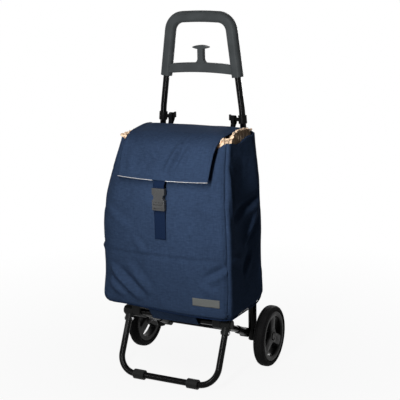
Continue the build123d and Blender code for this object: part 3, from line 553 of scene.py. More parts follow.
# Height, half width in front, half width behind, reach of the front corners, reach of the front's middle
BAG_ROWS = (
    (0.1905, 0.1725, 0.173, 0.2140, 0.2190),
    (0.2080, 0.1765, 0.181, 0.2200, 0.2250),
    (0.2620, 0.1770, 0.1775, 0.2170, 0.2310),
    (0.3300, 0.1765, 0.1765, 0.2175, 0.2345),
    (0.3900, 0.1755, 0.176, 0.2185, 0.2350),
    (0.4300, 0.1725, 0.175, 0.2155, 0.2330),
    (0.4780, 0.1665, 0.173, 0.2045, 0.2285),
    (0.5560, 0.1570, 0.166, 0.1800, 0.2080),
    (0.6120, 0.1520, 0.161, 0.1630, 0.1720),
)
SEAM_STEP = 0.006  # how far the front seams lie inside the widest line of the sides
CORNER_RUN = 0.010  # length of side cloth that rounds the front corner
BACK_RUN = 0.030
SIDE_DIP = 0.006  # how far the sides sink in
DIP_HEIGHTS = (0.23, 0.34, 0.52, 0.60)  # it grows over the first two heights and ends over the last two
BOTTOM_ROUND = 0.007
LEFT_RADIUS = 0.060  # the left front corner is soft: the front falls back round an arc of this radius
LEFT_ARC = 0.0535  # width of that arc, up to the seam
LEFT_STARTS = 0.70  # share of the half width where the arc starts
SOFT_HEIGHTS = (0.20, 0.28, 0.47, 0.57)  # no softness at the base and the mouth
LEFT_SOFT_WIDER = 0.0155  # the soft corner reaches further to the left
LEFT_WIDER = 0.009  # the whole bag sags to the left
SAG_ENDS = (0.53, 0.612)
SEAM_ROLL = 0.0035  # the front turns in beside its seams
ROLL_STARTS = 0.93  # share of the half width
print("bag from", round(BAG_LOW, 4), "to", round(BAG_TOP, 4), "back at", round(BAG_BACK, 4))


# %% Outline of the bag
def within(limits, value):
    """1 between the two middle limits, 0 beyond the outer ones."""
    return smoothstep(*limits[:2], value) * (1 - smoothstep(*limits[2:], value))


def side_half_width(height, depth_share, depth):
    """Half width of the bag at a height and a share of the way from front to back."""
    in_front, behind = curve_through(BAG_ROWS, height)[:2]
    from_front = depth_share * depth
    from_back = (1 - depth_share) * depth
    half = mix(in_front, behind, smoothstep(0, 1, depth_share))
    half -= SEAM_STEP * max(0.0, 1 - from_front / CORNER_RUN) ** 2
    half -= SEAM_STEP * max(0.0, 1 - from_back / BACK_RUN) ** 2
    return half - SIDE_DIP * math.sin(math.pi * depth_share) ** 2 * within(DIP_HEIGHTS, height)


def front_y(height, width_share):
    """Y of the front panel at a height and a share of its half width, below 0 to the left."""
    corner, middle = curve_through(BAG_ROWS, height)[2:]
    into_corner = LEFT_ARC * max(0.0, -width_share - LEFT_STARTS) / (1 - LEFT_STARTS)
    soft = (LEFT_RADIUS - math.sqrt(LEFT_RADIUS ** 2 - into_corner ** 2)) * within(SOFT_HEIGHTS, height)
    roll = SEAM_ROLL * smoothstep(ROLL_STARTS, 1.0, abs(width_share))
    return AXLE_Y - mix(corner, middle, 1 - width_share ** 2) + soft + roll


def left_extra(height):
    """How much further the left front corner reaches than the right one."""
    sag = LEFT_WIDER * (1 - smoothstep(*SAG_ENDS, height))
    return sag + LEFT_SOFT_WIDER * within(SOFT_HEIGHTS, height)


print("front of the base at", round(front_y(BAG_LOW, 0.0), 3))

# %% Rim and hem of the bag
FRONT_SLUMP = 0.018  # the front's rim hangs this much under the flap
FRONT_SLUMP_ENDS = (0.112, 0.148)  # across, from the middle
SIDE_SLUMP = 0.007
SIDE_SLUMP_Y = -0.034
SIDE_SLUMP_RUN = 0.026
BACK_RISE = 0.006
BACK_RISE_STARTS = (-0.02, 0.02)
SEWN_RISE = 0.0105  # the back stands higher still where the flap is sewn on
SEWN_ENDS = (0.135, 0.158)
RIM_STARTS = 0.75  # on the cube
HEM_DROP = 0.009  # the bottom hem hangs below the base, most of all at the right front corner
HEM_DEPTH = 0.022
HEM_HEIGHT = 0.045
HEM_ACROSS = (-0.16, 0.10)  # it grows from left to right
ON_EDGE = 0.999  # on the cube


def rim_drop(x, y, in_front, behind):
    """How far the rim hangs below the mouth: it slumps between the front corners and is held up behind."""
    if in_front:
        return FRONT_SLUMP * (1 - smoothstep(*FRONT_SLUMP_ENDS, abs(x)))
    if behind:
        return -BACK_RISE - SEWN_RISE * (1 - smoothstep(*SEWN_ENDS, abs(x)))
    slump = SIDE_SLUMP * math.exp(-((y - SIDE_SLUMP_Y) / SIDE_SLUMP_RUN) ** 2)
    return slump - BACK_RISE * smoothstep(*BACK_RISE_STARTS, y)


def hem_drop(x, y):
    """How far the bottom hem hangs: along the front and the right side, less to the left and behind."""
    in_front = 1 - smoothstep(0.0, HEM_DEPTH, y - front_y(BAG_LOW, 0.0))
    on_right = 1 - smoothstep(0.0, HEM_DEPTH, BAG_ROWS[0][1] - x)
    fading = smoothstep(*HEM_ACROSS, x) * (1 - smoothstep(0.0, BAG_BACK, y))
    return HEM_DROP * max(in_front, on_right) * fading


def bag_point(cube):
    """Place on the bag of a point of a cube from -1 to 1."""
    depth_share = (cube.y + 1) / 2
    height = mix(BAG_LOW, BAG_TOP, (cube.z + 1) / 2)
    start = front_y(height, cube.x)
    y = mix(start, BAG_BACK, depth_share)
    depth = BAG_BACK - front_y(height, 1.0)
    x = cube.x * side_half_width(height, depth_share, depth)
    x -= left_extra(height) * max(0.0, -cube.x) ** 2 * (1 - depth_share)
    above_low = height - BAG_LOW
    if above_low < BOTTOM_ROUND:
        pull = BOTTOM_ROUND - math.sqrt(BOTTOM_ROUND ** 2 - (BOTTOM_ROUND - above_low) ** 2)
        x -= pull * cube.x
        y -= pull * cube.y
    in_front = depth_share < 1 - ON_EDGE and abs(cube.x) < ON_EDGE
    behind = depth_share > ON_EDGE
    on_top = smoothstep(RIM_STARTS, 1.0, cube.z)
    low = 1 - smoothstep(0.0, HEM_HEIGHT, above_low)
    return Vector((x, y, height - rim_drop(x, y, in_front, behind) * on_top - hem_drop(x, y) * low))


print("front corner of the rim at", short(bag_point(Vector((1, -1, 1)))))

# %% [markdown]
# ## Folds
# Cloth under a little tension folds along lines: a ridge with a valley beside it. Each fold here is a line
# between two places on a panel, with a height and a width, read off the photo. A point of the shell moves
# along its normal by the sum of the folds near it, and by a slow noise that stands for the slack between
# them. Behind the strap of the buckle the cloth lies flat.

# %% Folds of the bag
# From and to as (x, z) on the front, then height and width
FRONT_FOLDS = (
    ((-0.172, 0.333), (0.172, 0.334), -0.0026, 0.0046),
    ((-0.150, 0.287), (-0.070, 0.220), 0.0125, 0.0100),
    ((-0.160, 0.250), (-0.118, 0.222), 0.0100, 0.0085),
    ((-0.095, 0.300), (-0.040, 0.236), 0.0075, 0.0110),
    ((-0.080, 0.372), (-0.050, 0.340), 0.0040, 0.0090),
    ((0.172, 0.326), (0.118, 0.290), -0.0090, 0.0080),
    ((0.100, 0.268), (0.150, 0.246), 0.0042, 0.0100),
    ((0.090, 0.470), (0.160, 0.440), 0.0036, 0.0120),
    ((-0.165, 0.440), (-0.100, 0.400), 0.0044, 0.0110),
)
# From and to as (y, z) on the right side, and the same on the left one
SIDE_FOLDS = (
    ((0.048, 0.462), (-0.085, 0.436), -0.0100, 0.0120),
    ((0.030, 0.420), (-0.030, 0.360), 0.0075, 0.0100),
    ((-0.005, 0.330), (-0.050, 0.285), -0.0065, 0.0100),
    ((-0.110, 0.335), (-0.060, 0.322), 0.0060, 0.0080),
    ((-0.095, 0.560), (-0.100, 0.440), 0.0045, 0.0080),
    ((0.040, 0.300), (0.050, 0.225), 0.0050, 0.0110),
)
print("folds", len(FRONT_FOLDS), "in front and", len(SIDE_FOLDS), "on the sides")

# %% Swelling of the cloth
FADING_END = 0.15  # a fold is low over this share of its line at either end
VALLEY_SHARE = 0.55  # depth of the valley
VALLEY_PLACE = 1.5  # widths beside the ridge
SLACK_HEIGHT = 0.0022
SLACK_SCALE = 15.0
RIPPLE_HEIGHT = 0.0007
RIPPLE_SCALE = 42.0
BASE_SLACK = 0.5  # share of the slack on the base
LEVEL = 0.7  # a normal that rises or falls this steeply belongs to the base
FACING = (0.55, 0.9)  # a panel's folds grow as its normal turns outwards
STRAP_CALM_ACROSS = (0.020, 0.050)
STRAP_CALM_HEIGHTS = (0.350, 0.375)
FRONT_SINKS = 0.0004


def fold_height(place, start, end, height, width):
    """Height of one fold at a place: a ridge with a shallower valley on one side, fading past its ends."""
    start, end = Vector(start), Vector(end)
    line = end - start
    share = (place - start).dot(line) / line.length_squared
    distance = line.cross(place - start) / line.length / width
    past_end = max(0.0, -share, share - 1) * line.length / width
    inside = FADING_END + (1 - 2 * FADING_END) * share
    ends = math.sin(math.pi * min(1.0, max(0.0, inside)))
    ridge = math.exp(-distance ** 2) - VALLEY_SHARE * math.exp(-(distance - VALLEY_PLACE) ** 2)
    return height * ends * ridge * math.exp(-past_end ** 2)


def slack(place):
    """Slow random swelling of loose cloth."""
    slow = noise.noise(place * SLACK_SCALE)
    quick = noise.noise(place * RIPPLE_SCALE)
    return SLACK_HEIGHT * slow + RIPPLE_HEIGHT * quick


def bag_swelling(place, normal):
    """How far the bag's cloth stands out at a place."""
    total = slack(place) * (BASE_SLACK if abs(normal.z) > LEVEL else 1.0)
    facing_front = smoothstep(*FACING, -normal.y)
    facing_side = smoothstep(*FACING, abs(normal.x))
    for fold in FRONT_FOLDS:
        total += facing_front * fold_height(Vector((place.x, place.z)), *fold)
    for fold in SIDE_FOLDS:
        total += facing_side * fold_height(Vector((place.y, place.z)), *fold)
    if facing_front > 0.5:
        strap_side = smoothstep(*STRAP_CALM_ACROSS, abs(place.x))
        strap_low = 1 - smoothstep(*STRAP_CALM_HEIGHTS, place.z)
        total = total * max(strap_side, strap_low) - FRONT_SINKS
    return total


print("slack of up to", round(SLACK_HEIGHT + RIPPLE_HEIGHT, 4), "metres")

# %% [markdown]
# ## The shell of the bag
# Now the cube becomes the bag. Its lid is deleted, its edges are cut into a grid and every point goes to
# its place. The two front corners get a small bevel that is pressed into a groove, because a sewn seam
# lies lower than the cloth beside it. The cloth's own thickness comes last, as a modifier.

# %% Grid of the bag
FRONT_CUTS = 69
SIDE_CUTS = 39
HEIGHT_CUTS = 83


def edges_along(bm, axis):
    """Edges of a block or of its grid that run along one axis."""
    found = []
    for edge in bm.edges:
        run = edge.verts[1].co - edge.verts[0].co
        if abs(run[axis]) > 0.5 * run.length:
            found.append(edge)
    return found


bag = bmesh.new()
bmesh.ops.create_cube(bag, size=2)
lid = [face for face in bag.faces if face.normal.z > 0.5]
bmesh.ops.delete(bag, geom=lid, context="FACES_ONLY")
for axis, cuts in ((2, HEIGHT_CUTS), (0, FRONT_CUTS), (1, SIDE_CUTS)):
    bmesh.ops.subdivide_edges(bag, edges=edges_along(bag, axis), cuts=cuts, use_grid_fill=True)
seam_edges = [
    edge for edge in bag.edges
    if all(abs(v.co.x) > ON_EDGE and v.co.y < -ON_EDGE for v in edge.verts)
]
for vert in bag.verts:
    vert.co = bag_point(vert.co)
print("grid of the bag", len(bag.verts), "points")

# %% Bag shell
SEAM_WIDTH = 0.0026
SEAM_DEPTH = 0.0030
BAG_CLOTH = 0.002
CALM_BOTTOM = 0.012  # no folds at the hem
CALM_RIM = 0.02
RIM_FOLDS = 0.3  # share of the folds that is left at the rim
SIDE_FACING = 0.6
ROUND_EDGES = {"offset_type": "OFFSET", "profile": 0.5, "affect": "EDGES", "material": -1}


def seam_half_width(height, side):
    """Half width of the bag at its front seams, with side below 0 for the left one."""
    half = side_half_width(height, 0.0, BAG_BACK - front_y(height, 1.0))
    return half + (left_extra(height) if side < 0 else 0.0)


bmesh.ops.bevel(bag, geom=seam_edges, offset=SEAM_WIDTH, segments=4, **ROUND_EDGES)
bag.normal_update()
for vert in bag.verts:
    seam_z = max(vert.co.z, BAG_LOW)
    seam_x = seam_half_width(seam_z, vert.co.x)
    seam_y = front_y(seam_z, math.copysign(1.0, vert.co.x))
    from_seam = Vector((abs(vert.co.x) - seam_x, vert.co.y - seam_y)).length / SEAM_WIDTH
    above_bottom = smoothstep(BAG_LOW, BAG_LOW + CALM_BOTTOM, vert.co.z)
    below_rim = 1 - smoothstep(BAG_TOP - CALM_RIM, BAG_TOP, vert.co.z)
    folded = above_bottom * mix(RIM_FOLDS, 1, below_rim)
    pressed_in = SEAM_DEPTH * max(0.0, 1 - from_seam ** 2)
    vert.co += vert.normal * (bag_swelling(vert.co, vert.normal) * folded - pressed_in)
bag.normal_update()
bag_surface = BVHTree.FromBMesh(bag)
threads = bag.loops.layers.uv.verify()
for face in bag.faces:
    across = 1 if abs(face.normal.x) > SIDE_FACING else 0
    along = 1 if abs(face.normal.z) > LEVEL else 2
    for loop in face.loops:
        loop[threads].uv = (loop.vert.co[across], loop.vert.co[along])
bag_shell = finish_piece(
    "bag_shell", bag, navy_cloth, "frame",
    ("bag_front_panel", "bag_left_panel", "bag_right_panel", "bag_back_panel", "bag_base_panel"),
)
thicken(bag_shell, BAG_CLOTH)

# %% [markdown]
# ## The flap
# The lid of the bag is one cloth, sewn to the back edge of the mouth. It lies over the top, bends at the
# front and hangs down to a hem. A grid is laid along that path: one axis of the grid runs along the cloth
# from back to hem, the other across it. The strap of the buckle pulls the middle of the hem, so folds run
# up from there, and the edges are turned in and stand a little higher.

# %% Path of the flap
# Distance along the cloth, then reach before the axle, height and half width
FLAP_ROWS = (
    (0.000, 0.0160, 0.6275, 0.1410),
    (0.022, 0.0365, 0.6340, 0.1395),
    (0.056, 0.0700, 0.6345, 0.1375),
    (0.112, 0.1258, 0.6295, 0.1330),
    (0.138, 0.1510, 0.6240, 0.1305),
    (0.162, 0.1745, 0.6140, 0.1285),
    (0.186, 0.1938, 0.5975, 0.1270),
    (0.232, 0.2190, 0.5605, 0.1255),
    (0.273, 0.2368, 0.5255, 0.1240),
)
FLAP_LENGTH = FLAP_ROWS[-1][0]
FLAP_WRAP = 0.014  # how far the corners of the hem lie behind its middle
FLAP_LIFT = 0.001  # how far they lie above it
FLAP_HANGS = 0.13  # distance along the cloth from where it hangs
EDGE_DROOP = 0.0025
EDGE_POWER = 6  # the droop keeps to the outer edges


def flap_point(across, distance):
    """Place on the flap: across from -1 to 1, distance along the cloth from the back."""
    reach, height, half_width = curve_through(FLAP_ROWS, distance)
    hanging = smoothstep(FLAP_HANGS, FLAP_LENGTH, distance)
    y = AXLE_Y - reach + FLAP_WRAP * across ** 2 * hanging
    z = height + FLAP_LIFT * across ** 2 * hanging - EDGE_DROOP * across ** EDGE_POWER * (1 - hanging)
    return Vector((across * half_width, y, z))


print("flap", FLAP_LENGTH, "metres from back to hem")

# %% Flap
FLAP_CLOTH = 0.0022
FLAP_CELLS = (84, 92)  # across and along
HEM_BAND = 0.009
HEM_TURN = 0.002
HEM_EXTRA = 0.0011
FLAP_SLACK = 0.7  # share of the bag's slack
FLAP_EDGE_SLACK = 0.4
FLAP_LOOSE = 0.03  # distance from an edge at which the slack is full
SLACK_SHIFT = Vector((0.3, 0.1, 0))  # so that the flap doesn't repeat the front's noise
FOLDS_START = 0.15
# From and to as (x, z) on the hanging part, then height and width
FLAP_FOLDS = (
    ((0.036, 0.605), (0.014, 0.545), 0.0105, 0.0090),
    ((0.060, 0.600), (0.040, 0.545), 0.0044, 0.0090),
    ((-0.056, 0.590), (-0.018, 0.545), 0.0066, 0.0100),
    ((-0.100, 0.580), (-0.085, 0.540), 0.0036, 0.0100),
    ((0.105, 0.595), (0.090, 0.545), -0.0036, 0.0100),
)
flap_bm = bmesh.new()
bmesh.ops.create_grid(flap_bm, x_segments=FLAP_CELLS[0], y_segments=FLAP_CELLS[1], size=1)
lay_threads(flap_bm, lambda p: p.x * FLAP_ROWS[0][3], lambda p: p.y * FLAP_LENGTH / 2)
flat_places = {vert: (vert.co.x, FLAP_LENGTH * (1 - vert.co.y) / 2) for vert in flap_bm.verts}
for vert, (across, distance) in flat_places.items():
    vert.co = flap_point(across, distance)
flap_bm.normal_update()
for vert, (across, distance) in flat_places.items():
    half_width = curve_through(FLAP_ROWS, distance)[2]
    from_edge = min(half_width * (1 - abs(across)), FLAP_LENGTH - distance)
    offset = HEM_EXTRA * (1 - smoothstep(HEM_BAND - HEM_TURN, HEM_BAND, from_edge))
    loose = mix(FLAP_EDGE_SLACK, 1, smoothstep(0.0, FLAP_LOOSE, from_edge))
    offset += FLAP_SLACK * slack(vert.co + SLACK_SHIFT) * loose
    if distance > FOLDS_START:
        for fold in FLAP_FOLDS:
            offset += fold_height(Vector((vert.co.x, vert.co.z)), *fold)
    vert.co += vert.normal * offset
flap_bm.normal_update()
flap_surface = BVHTree.FromBMesh(flap_bm)
hem_line = [vert.co.copy() for vert, place in flat_places.items() if FLAP_LENGTH - place[1] < 1e-6]
hem_line.sort(key=lambda point: point.x)
lid_cloth = finish_piece("lid_cloth", flap_bm, navy_cloth, "flap", ("lid_flap",))
thicken(lid_cloth, FLAP_CLOTH)

# %% [markdown]
# ## Piping along the hem
# A pale cord is sewn into the hem, with a gap where the strap comes out. A cord that follows an edge is a
# row of small rings, one at each point of the edge, bridged into a tube and closed at its ends.

# %% Hem piping
PIPING_RADIUS = 0.0009
PIPING_BACK = 0.0004  # it lies this much behind the edge
PIPING_GAP = 0.0165  # half the width left free for the strap


def add_tube(bm, points, radius, sides=8):
    """Add a closed tube of rings along points to a bmesh."""
    rings = []
    for index, point in enumerate(points):
        ahead = points[min(index + 1, len(points) - 1)]
        behind = points[max(index - 1, 0)]
        turned = (ahead - behind).to_track_quat("Z", "Y").to_matrix().to_4x4()
        place = Matrix.Translation(point) @ turned
        ring = bmesh.ops.create_circle(bm, segments=sides, radius=radius, matrix=place)["verts"]
        rings.append(list(dict.fromkeys(edge for vert in ring for edge in vert.link_edges)))
    for first, second in zip(rings, rings[1:]):
        bmesh.ops.bridge_loops(bm, edges=first + second)
    for end in (rings[0], rings[-1]):
        bmesh.ops.edgeloop_fill(bm, edges=end)


piping = bmesh.new()
for side in (-1, 1):
    below_hem = Vector((0, PIPING_BACK, -PIPING_RADIUS))
    span = [point + below_hem for point in hem_line if side * point.x > PIPING_GAP]
    add_tube(piping, span, PIPING_RADIUS)
face_outwards(piping)
lay_threads(piping)
hem_piping = finish_piece("hem_piping", piping, pale_piping, "flap", ("flap_piping",))

# %% [markdown]
# ## The drawstring collar
# Inside the mouth sits a band of thin beige cotton with a tunnel for a drawstring along its top, gathered
# into small pleats. Beside the flap it stands up and shows, and its sides lean in over the mouth. A grid
# wraps once round the mouth: across it run the pleats, a sine with an uneven rhythm, and at its top the
# cloth rolls over into the tunnel.

# %% Outline of the mouth
MOUTH_HALF_WIDTH = 0.1525
MOUTH_FRONT = AXLE_Y - 0.1650
MOUTH_BACK = BAG_BACK - 0.0040
MOUTH_SQUARENESS = 10.0
MOUTH_WIDENING = 0.03  # share by which it is wider behind than in front
MOUTH_STEPS = 2880
COLLAR_COLUMNS = 640


def mouth_point(angle):
    """Point on the rounded outline of the mouth."""
    power = 2 / MOUTH_SQUARENESS
    middle = (MOUTH_FRONT + MOUTH_BACK) / 2
    half_depth = (MOUTH_BACK - MOUTH_FRONT) / 2
    cosine, sine = math.cos(angle), math.sin(angle)
    x = math.copysign(abs(cosine) ** power, cosine) * MOUTH_HALF_WIDTH
    y = middle + math.copysign(abs(sine) ** power, sine) * half_depth
    return Vector((x * (1 + MOUTH_WIDENING * (y - MOUTH_FRONT) / (2 * half_depth)), y, 0))


def even_loop(points, count):
    """As many points as wanted at even distances along a closed loop."""
    lengths = [(b - a).length for a, b in zip(points, points[1:] + points[:1])]
    step = sum(lengths) / count
    even, walked, index = [], 0.0, 0
    for number in range(count):
        while walked + lengths[index] < number * step:
            walked += lengths[index]
            index += 1
        share = (number * step - walked) / lengths[index]
        even.append(points[index].lerp(points[(index + 1) % len(points)], share))
    return even


outline = [mouth_point(2 * math.pi * step / MOUTH_STEPS) for step in range(MOUTH_STEPS)]
mouth = even_loop(outline, COLLAR_COLUMNS)
mouth_length = sum((b - a).length for a, b in zip(mouth, mouth[1:] + mouth[:1]))
print("mouth", round(mouth_length, 3), "metres round")

# %% Shape of the collar
COLLAR_LOW = 0.588
COLLAR_TOP = 0.6120  # under the flap
FRONT_SHOWN_RISE = 0.0130  # more height where the flap doesn't cover it
SIDE_SHOWN_RISE = 0.0245
BACK_SHOWN_RISE = 0.0175
FRONT_LEAN = 0.0035  # outwards
SIDE_LEAN = -0.0070  # the sides lean in over the mouth
SIDE_PLEATS = 0.45  # share of the pleats' depth that is left along the sides
LEFT_SHOWN_SHARE = 0.45  # the left side stands up less
SHOWN_STARTS = (-0.002, 0.006)  # across, from the edge of the flap
FLAP_TOP_REACH = 0.17  # up to here, reach before the axle stands for distance along the flap
SIDE_RISE_STARTS = (-0.085, -0.010)  # places from front to back
BACK_RISE_RUN = (0.020, 0.062)
BESIDE_STARTS = (-0.072, -0.035)
LEAN_ENDS = (0.030, 0.060)
COLLAR_INSET = 0.0045
COVERED_INSET = 0.002  # further in at the top where the flap covers it
PLEATS = 44
PLEAT_DEPTH = 0.0044
COVERED_PLEATS = 0.55  # share of the depth under the flap
LOW_PLEATS = 0.25  # share of the depth at the lower edge
PLEAT_CREST = 0.0022  # the tunnel goes up and down with the pleats
RHYTHM = 9  # how quickly the pleats' rhythm changes round the mouth
RHYTHM_SHIFT = 4.0
RHYTHM_RISE = 0.0012
TUNNEL_RADIUS = 0.0026
TUNNEL_TURN = 1.7 * math.pi
TUNNEL_STEPS = 8
BAND_STEPS = 12


def collar_point(column, row):
    """Place on the collar: a column round the mouth and a row up the band and over the tunnel."""
    column %= COLLAR_COLUMNS
    here = mouth[column]
    along = (mouth[(column + 1) % COLLAR_COLUMNS] - mouth[column - 1]).normalized()
    outward = Vector((along.y, -along.x, 0))
    angle = 2 * math.pi * column / COLLAR_COLUMNS
    flap_edge = curve_through(FLAP_ROWS, min(AXLE_Y - here.y, FLAP_TOP_REACH))[2]
    shown = smoothstep(*SHOWN_STARTS, abs(here.x) - flap_edge)
    if here.x < 0:
        shown *= LEFT_SHOWN_SHARE
    rhythm = noise.noise(Vector((RHYTHM * math.cos(angle), RHYTHM * math.sin(angle), 0)))
    beside = smoothstep(*BESIDE_STARTS, here.y)
    pleat = math.sin(PLEATS * angle + RHYTHM_SHIFT * rhythm) * mix(1, SIDE_PLEATS, beside * shown)
    rise = FRONT_SHOWN_RISE
    rise += (SIDE_SHOWN_RISE - FRONT_SHOWN_RISE) * smoothstep(*SIDE_RISE_STARTS, here.y)
    rise += (BACK_SHOWN_RISE - SIDE_SHOWN_RISE) * smoothstep(*BACK_RISE_RUN, here.y)
    lean = mix(FRONT_LEAN, SIDE_LEAN, beside) * (1 - smoothstep(*LEAN_ENDS, here.y))
    top = COLLAR_TOP + shown * rise + RHYTHM_RISE * rhythm
    up = min(row / BAND_STEPS, 1.0)
    height = mix(COLLAR_LOW, top - TUNNEL_RADIUS, up)
    offset = -COLLAR_INSET + (lean * shown - COVERED_INSET * (1 - shown)) * up ** 2
    offset += PLEAT_DEPTH * mix(COVERED_PLEATS, 1, shown) * mix(LOW_PLEATS, 1, up) * pleat
    if row > BAND_STEPS:
        roll = TUNNEL_TURN * (row - BAND_STEPS) / TUNNEL_STEPS
        offset += TUNNEL_RADIUS * (1 - math.cos(roll))
        height += TUNNEL_RADIUS * math.sin(roll) + PLEAT_CREST * shown * pleat
    return here + outward * offset + Vector((0, 0, height))


print("pleats", PLEATS)

# %% Collar
COLLAR_COTTON = 0.0006
COLLAR_THREADS = 0.03  # metres of thread from the middle of the band to an edge
collar_rows = BAND_STEPS + TUNNEL_STEPS
collar = bmesh.new()
bmesh.ops.create_grid(collar, x_segments=COLLAR_COLUMNS, y_segments=collar_rows, size=1)
lay_threads(collar, lambda p: p.x * mouth_length / 2, lambda p: p.y * COLLAR_THREADS)
for vert in collar.verts:
    column = round((vert.co.x + 1) / 2 * COLLAR_COLUMNS)
    row = round((vert.co.y + 1) / 2 * collar_rows)
    vert.co = collar_point(column, row)
bmesh.ops.remove_doubles(collar, verts=collar.verts, dist=1e-6)
face_outwards(collar)
mouth_gather = finish_piece("mouth_gather", collar, beige_cotton, "frame", ("mouth_collar",))
thicken(mouth_gather, COLLAR_COTTON, offset=0.0)

# %% [markdown]
# ## Webbing
# Straps and loops are flat ribbons: a line of points seen from the side, pulled across to the strap's width
# and given its thickness. The same helper makes the strap of the buckle, the tail below it, the two loops
# on the bag hooks and the cloth tab under the bag.


# %% Ribbon helper
def ribbon(path, middle, width, thickness, across_cuts=9):
    """A flat strap along (y, z) points, as wide as given across X."""
    bm = bmesh.new()
    verts = [bm.verts.new((middle - width / 2, y, z)) for y, z in path]
    edges = [bm.edges.new(pair) for pair in zip(verts, verts[1:])]
    pulled = bmesh.ops.extrude_edge_only(bm, edges=edges)
    moved = [item for item in pulled["geom"] if isinstance(item, bmesh.types.BMVert)]
    bmesh.ops.translate(bm, verts=moved, vec=(width, 0, 0))
    across = [edge for edge in bm.edges if abs(edge.verts[0].co.x - edge.verts[1].co.x) > width / 2]
    bmesh.ops.subdivide_edges(bm, edges=across, cuts=across_cuts, use_grid_fill=True)
    lengths = [0.0]
    for a, b in zip(path, path[1:]):
        lengths.append(lengths[-1] + math.dist(a, b))
    along = dict(zip(path, lengths))
    lay_threads(bm, lambda p: along[min(path, key=lambda k: math.dist(k, (p.y, p.z)))], lambda p: p.x)
    bm.normal_update()
    for vert in bm.verts:
        vert.co += vert.normal * thickness / 2
    bmesh.ops.solidify(bm, geom=bm.faces, thickness=thickness)
    face_outwards(bm)
    return bm


# %% Path helpers
def rounded_path(points, radius, steps=6):
    """Points along straight runs joined by round bends."""
    path = [points[0]]
    for before, corner, after in zip(points, points[1:], points[2:]):
        arrive = (Vector(before) - Vector(corner)).normalized()
        leave = (Vector(after) - Vector(corner)).normalized()
        half = arrive.angle(leave) / 2
        cut = radius / math.tan(half)
        for step in range(steps + 1):
            share = step / steps
            first = Vector(corner) + arrive * cut * (1 - share)
            second = Vector(corner) + leave * cut * share
            path.append(tuple(first.lerp(second, share)))
    path.append(points[-1])
    return path


def cut_fine(path, longest):
    """The same path with no run longer than given."""
    fine = [path[0]]
    for a, b in zip(path, path[1:]):
        count = max(1, math.ceil(math.dist(a, b) / longest))
        for number in range(1, count + 1):
            fine.append(tuple(Vector(a).lerp(Vector(b), number / count)))
    return fine


# %% Straps of the buckle
strap_low, strap_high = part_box("flap_strap")
tail_low, tail_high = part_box("front_strap")
STRAP_THICKNESS = tail_high.y - tail_low.y
STRAP_WIDTH = strap_high.x - strap_low.x
STRAP_TURN = strap_low.z + 0.0125  # it hangs straight down below this height
STRAP_BEND = 0.004
STRAP_FINE = 0.003
UPPER_THICKNESS = 0.9 * STRAP_THICKNESS
strap_plane = strap_low.y + STRAP_THICKNESS / 2
strap_corners = [(strap_high.y, strap_high.z), (strap_plane, STRAP_TURN), (strap_plane, strap_low.z)]
strap_path = cut_fine(rounded_path(strap_corners, STRAP_BEND), STRAP_FINE)
strap_bm = ribbon(strap_path, 0, STRAP_WIDTH, UPPER_THICKNESS)
finish_piece("flap_webbing", strap_bm, navy_webbing, "flap", ("flap_strap",))
tail_y = tail_low.y + STRAP_THICKNESS / 2
tail_path = cut_fine([(tail_y, tail_high.z), (tail_y, tail_low.z)], STRAP_FINE)
tail_bm = ribbon(tail_path, 0, STRAP_WIDTH, STRAP_THICKNESS)
finish_piece("tail_webbing", tail_bm, navy_webbing, "frame", ("front_strap",))

# %% [markdown]
# ## Loops on the bag hooks
# The bag hangs from two webbing loops. Each is sewn to the back of the bag with both ends and goes over its
# hook in most of a ring, which is a little flatter from front to back than it is high.

# %% Hanging loops
LOOP_SETBACK = 0.006  # keeps the loops clear of the open flap
LOOP_THICKNESS = 0.0014
LOOP_FINE = 0.004
LOOP_CUTS = 3
LOOP_END = 0.004  # the outer end is sewn on this much higher
RING_START = 215  # degrees
RING_TURN = 250
RING_STEPS = 24
for side in ("left", "right"):
    node = side + "_hanging_loop"
    loop_low, loop_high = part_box(node)
    ring_front = loop_low.y + LOOP_SETBACK
    ring_half_depth = (loop_high.y - ring_front) / 2 - LOOP_THICKNESS / 2
    ring_radius = (loop_high.y - loop_low.y) / 2 - LOOP_THICKNESS / 2
    ring_y = (ring_front + loop_high.y) / 2
    ring_z = loop_high.z - ring_radius - LOOP_THICKNESS / 2
    inner_y = BAG_BACK + LOOP_THICKNESS
    outer_y = inner_y + LOOP_THICKNESS
    path = [(inner_y, loop_low.z), (inner_y, BAG_TOP)]
    for step in range(RING_STEPS + 1):
        angle = math.radians(RING_START - RING_TURN * step / RING_STEPS)
        path.append((ring_y + ring_half_depth * math.cos(angle), ring_z + ring_radius * math.sin(angle)))
    path += [(outer_y, BAG_TOP + LOOP_END), (outer_y, loop_low.z + LOOP_END)]
    loop_middle = (loop_low.x + loop_high.x) / 2
    bm = ribbon(cut_fine(path, LOOP_FINE), loop_middle, loop_high.x - loop_low.x, LOOP_THICKNESS, LOOP_CUTS)
    finish_piece(side + "_hook_loop", bm, black_webbing, "frame", (node,))

# %% [markdown]
# ## The tab under the bag
# A strip of the bag's cloth runs from the front hem back below the front cross tube and up again, so the
# bag can't slip off the folding base. It moves with the base. It is the ribbon again, wide and bent round
# the tube.

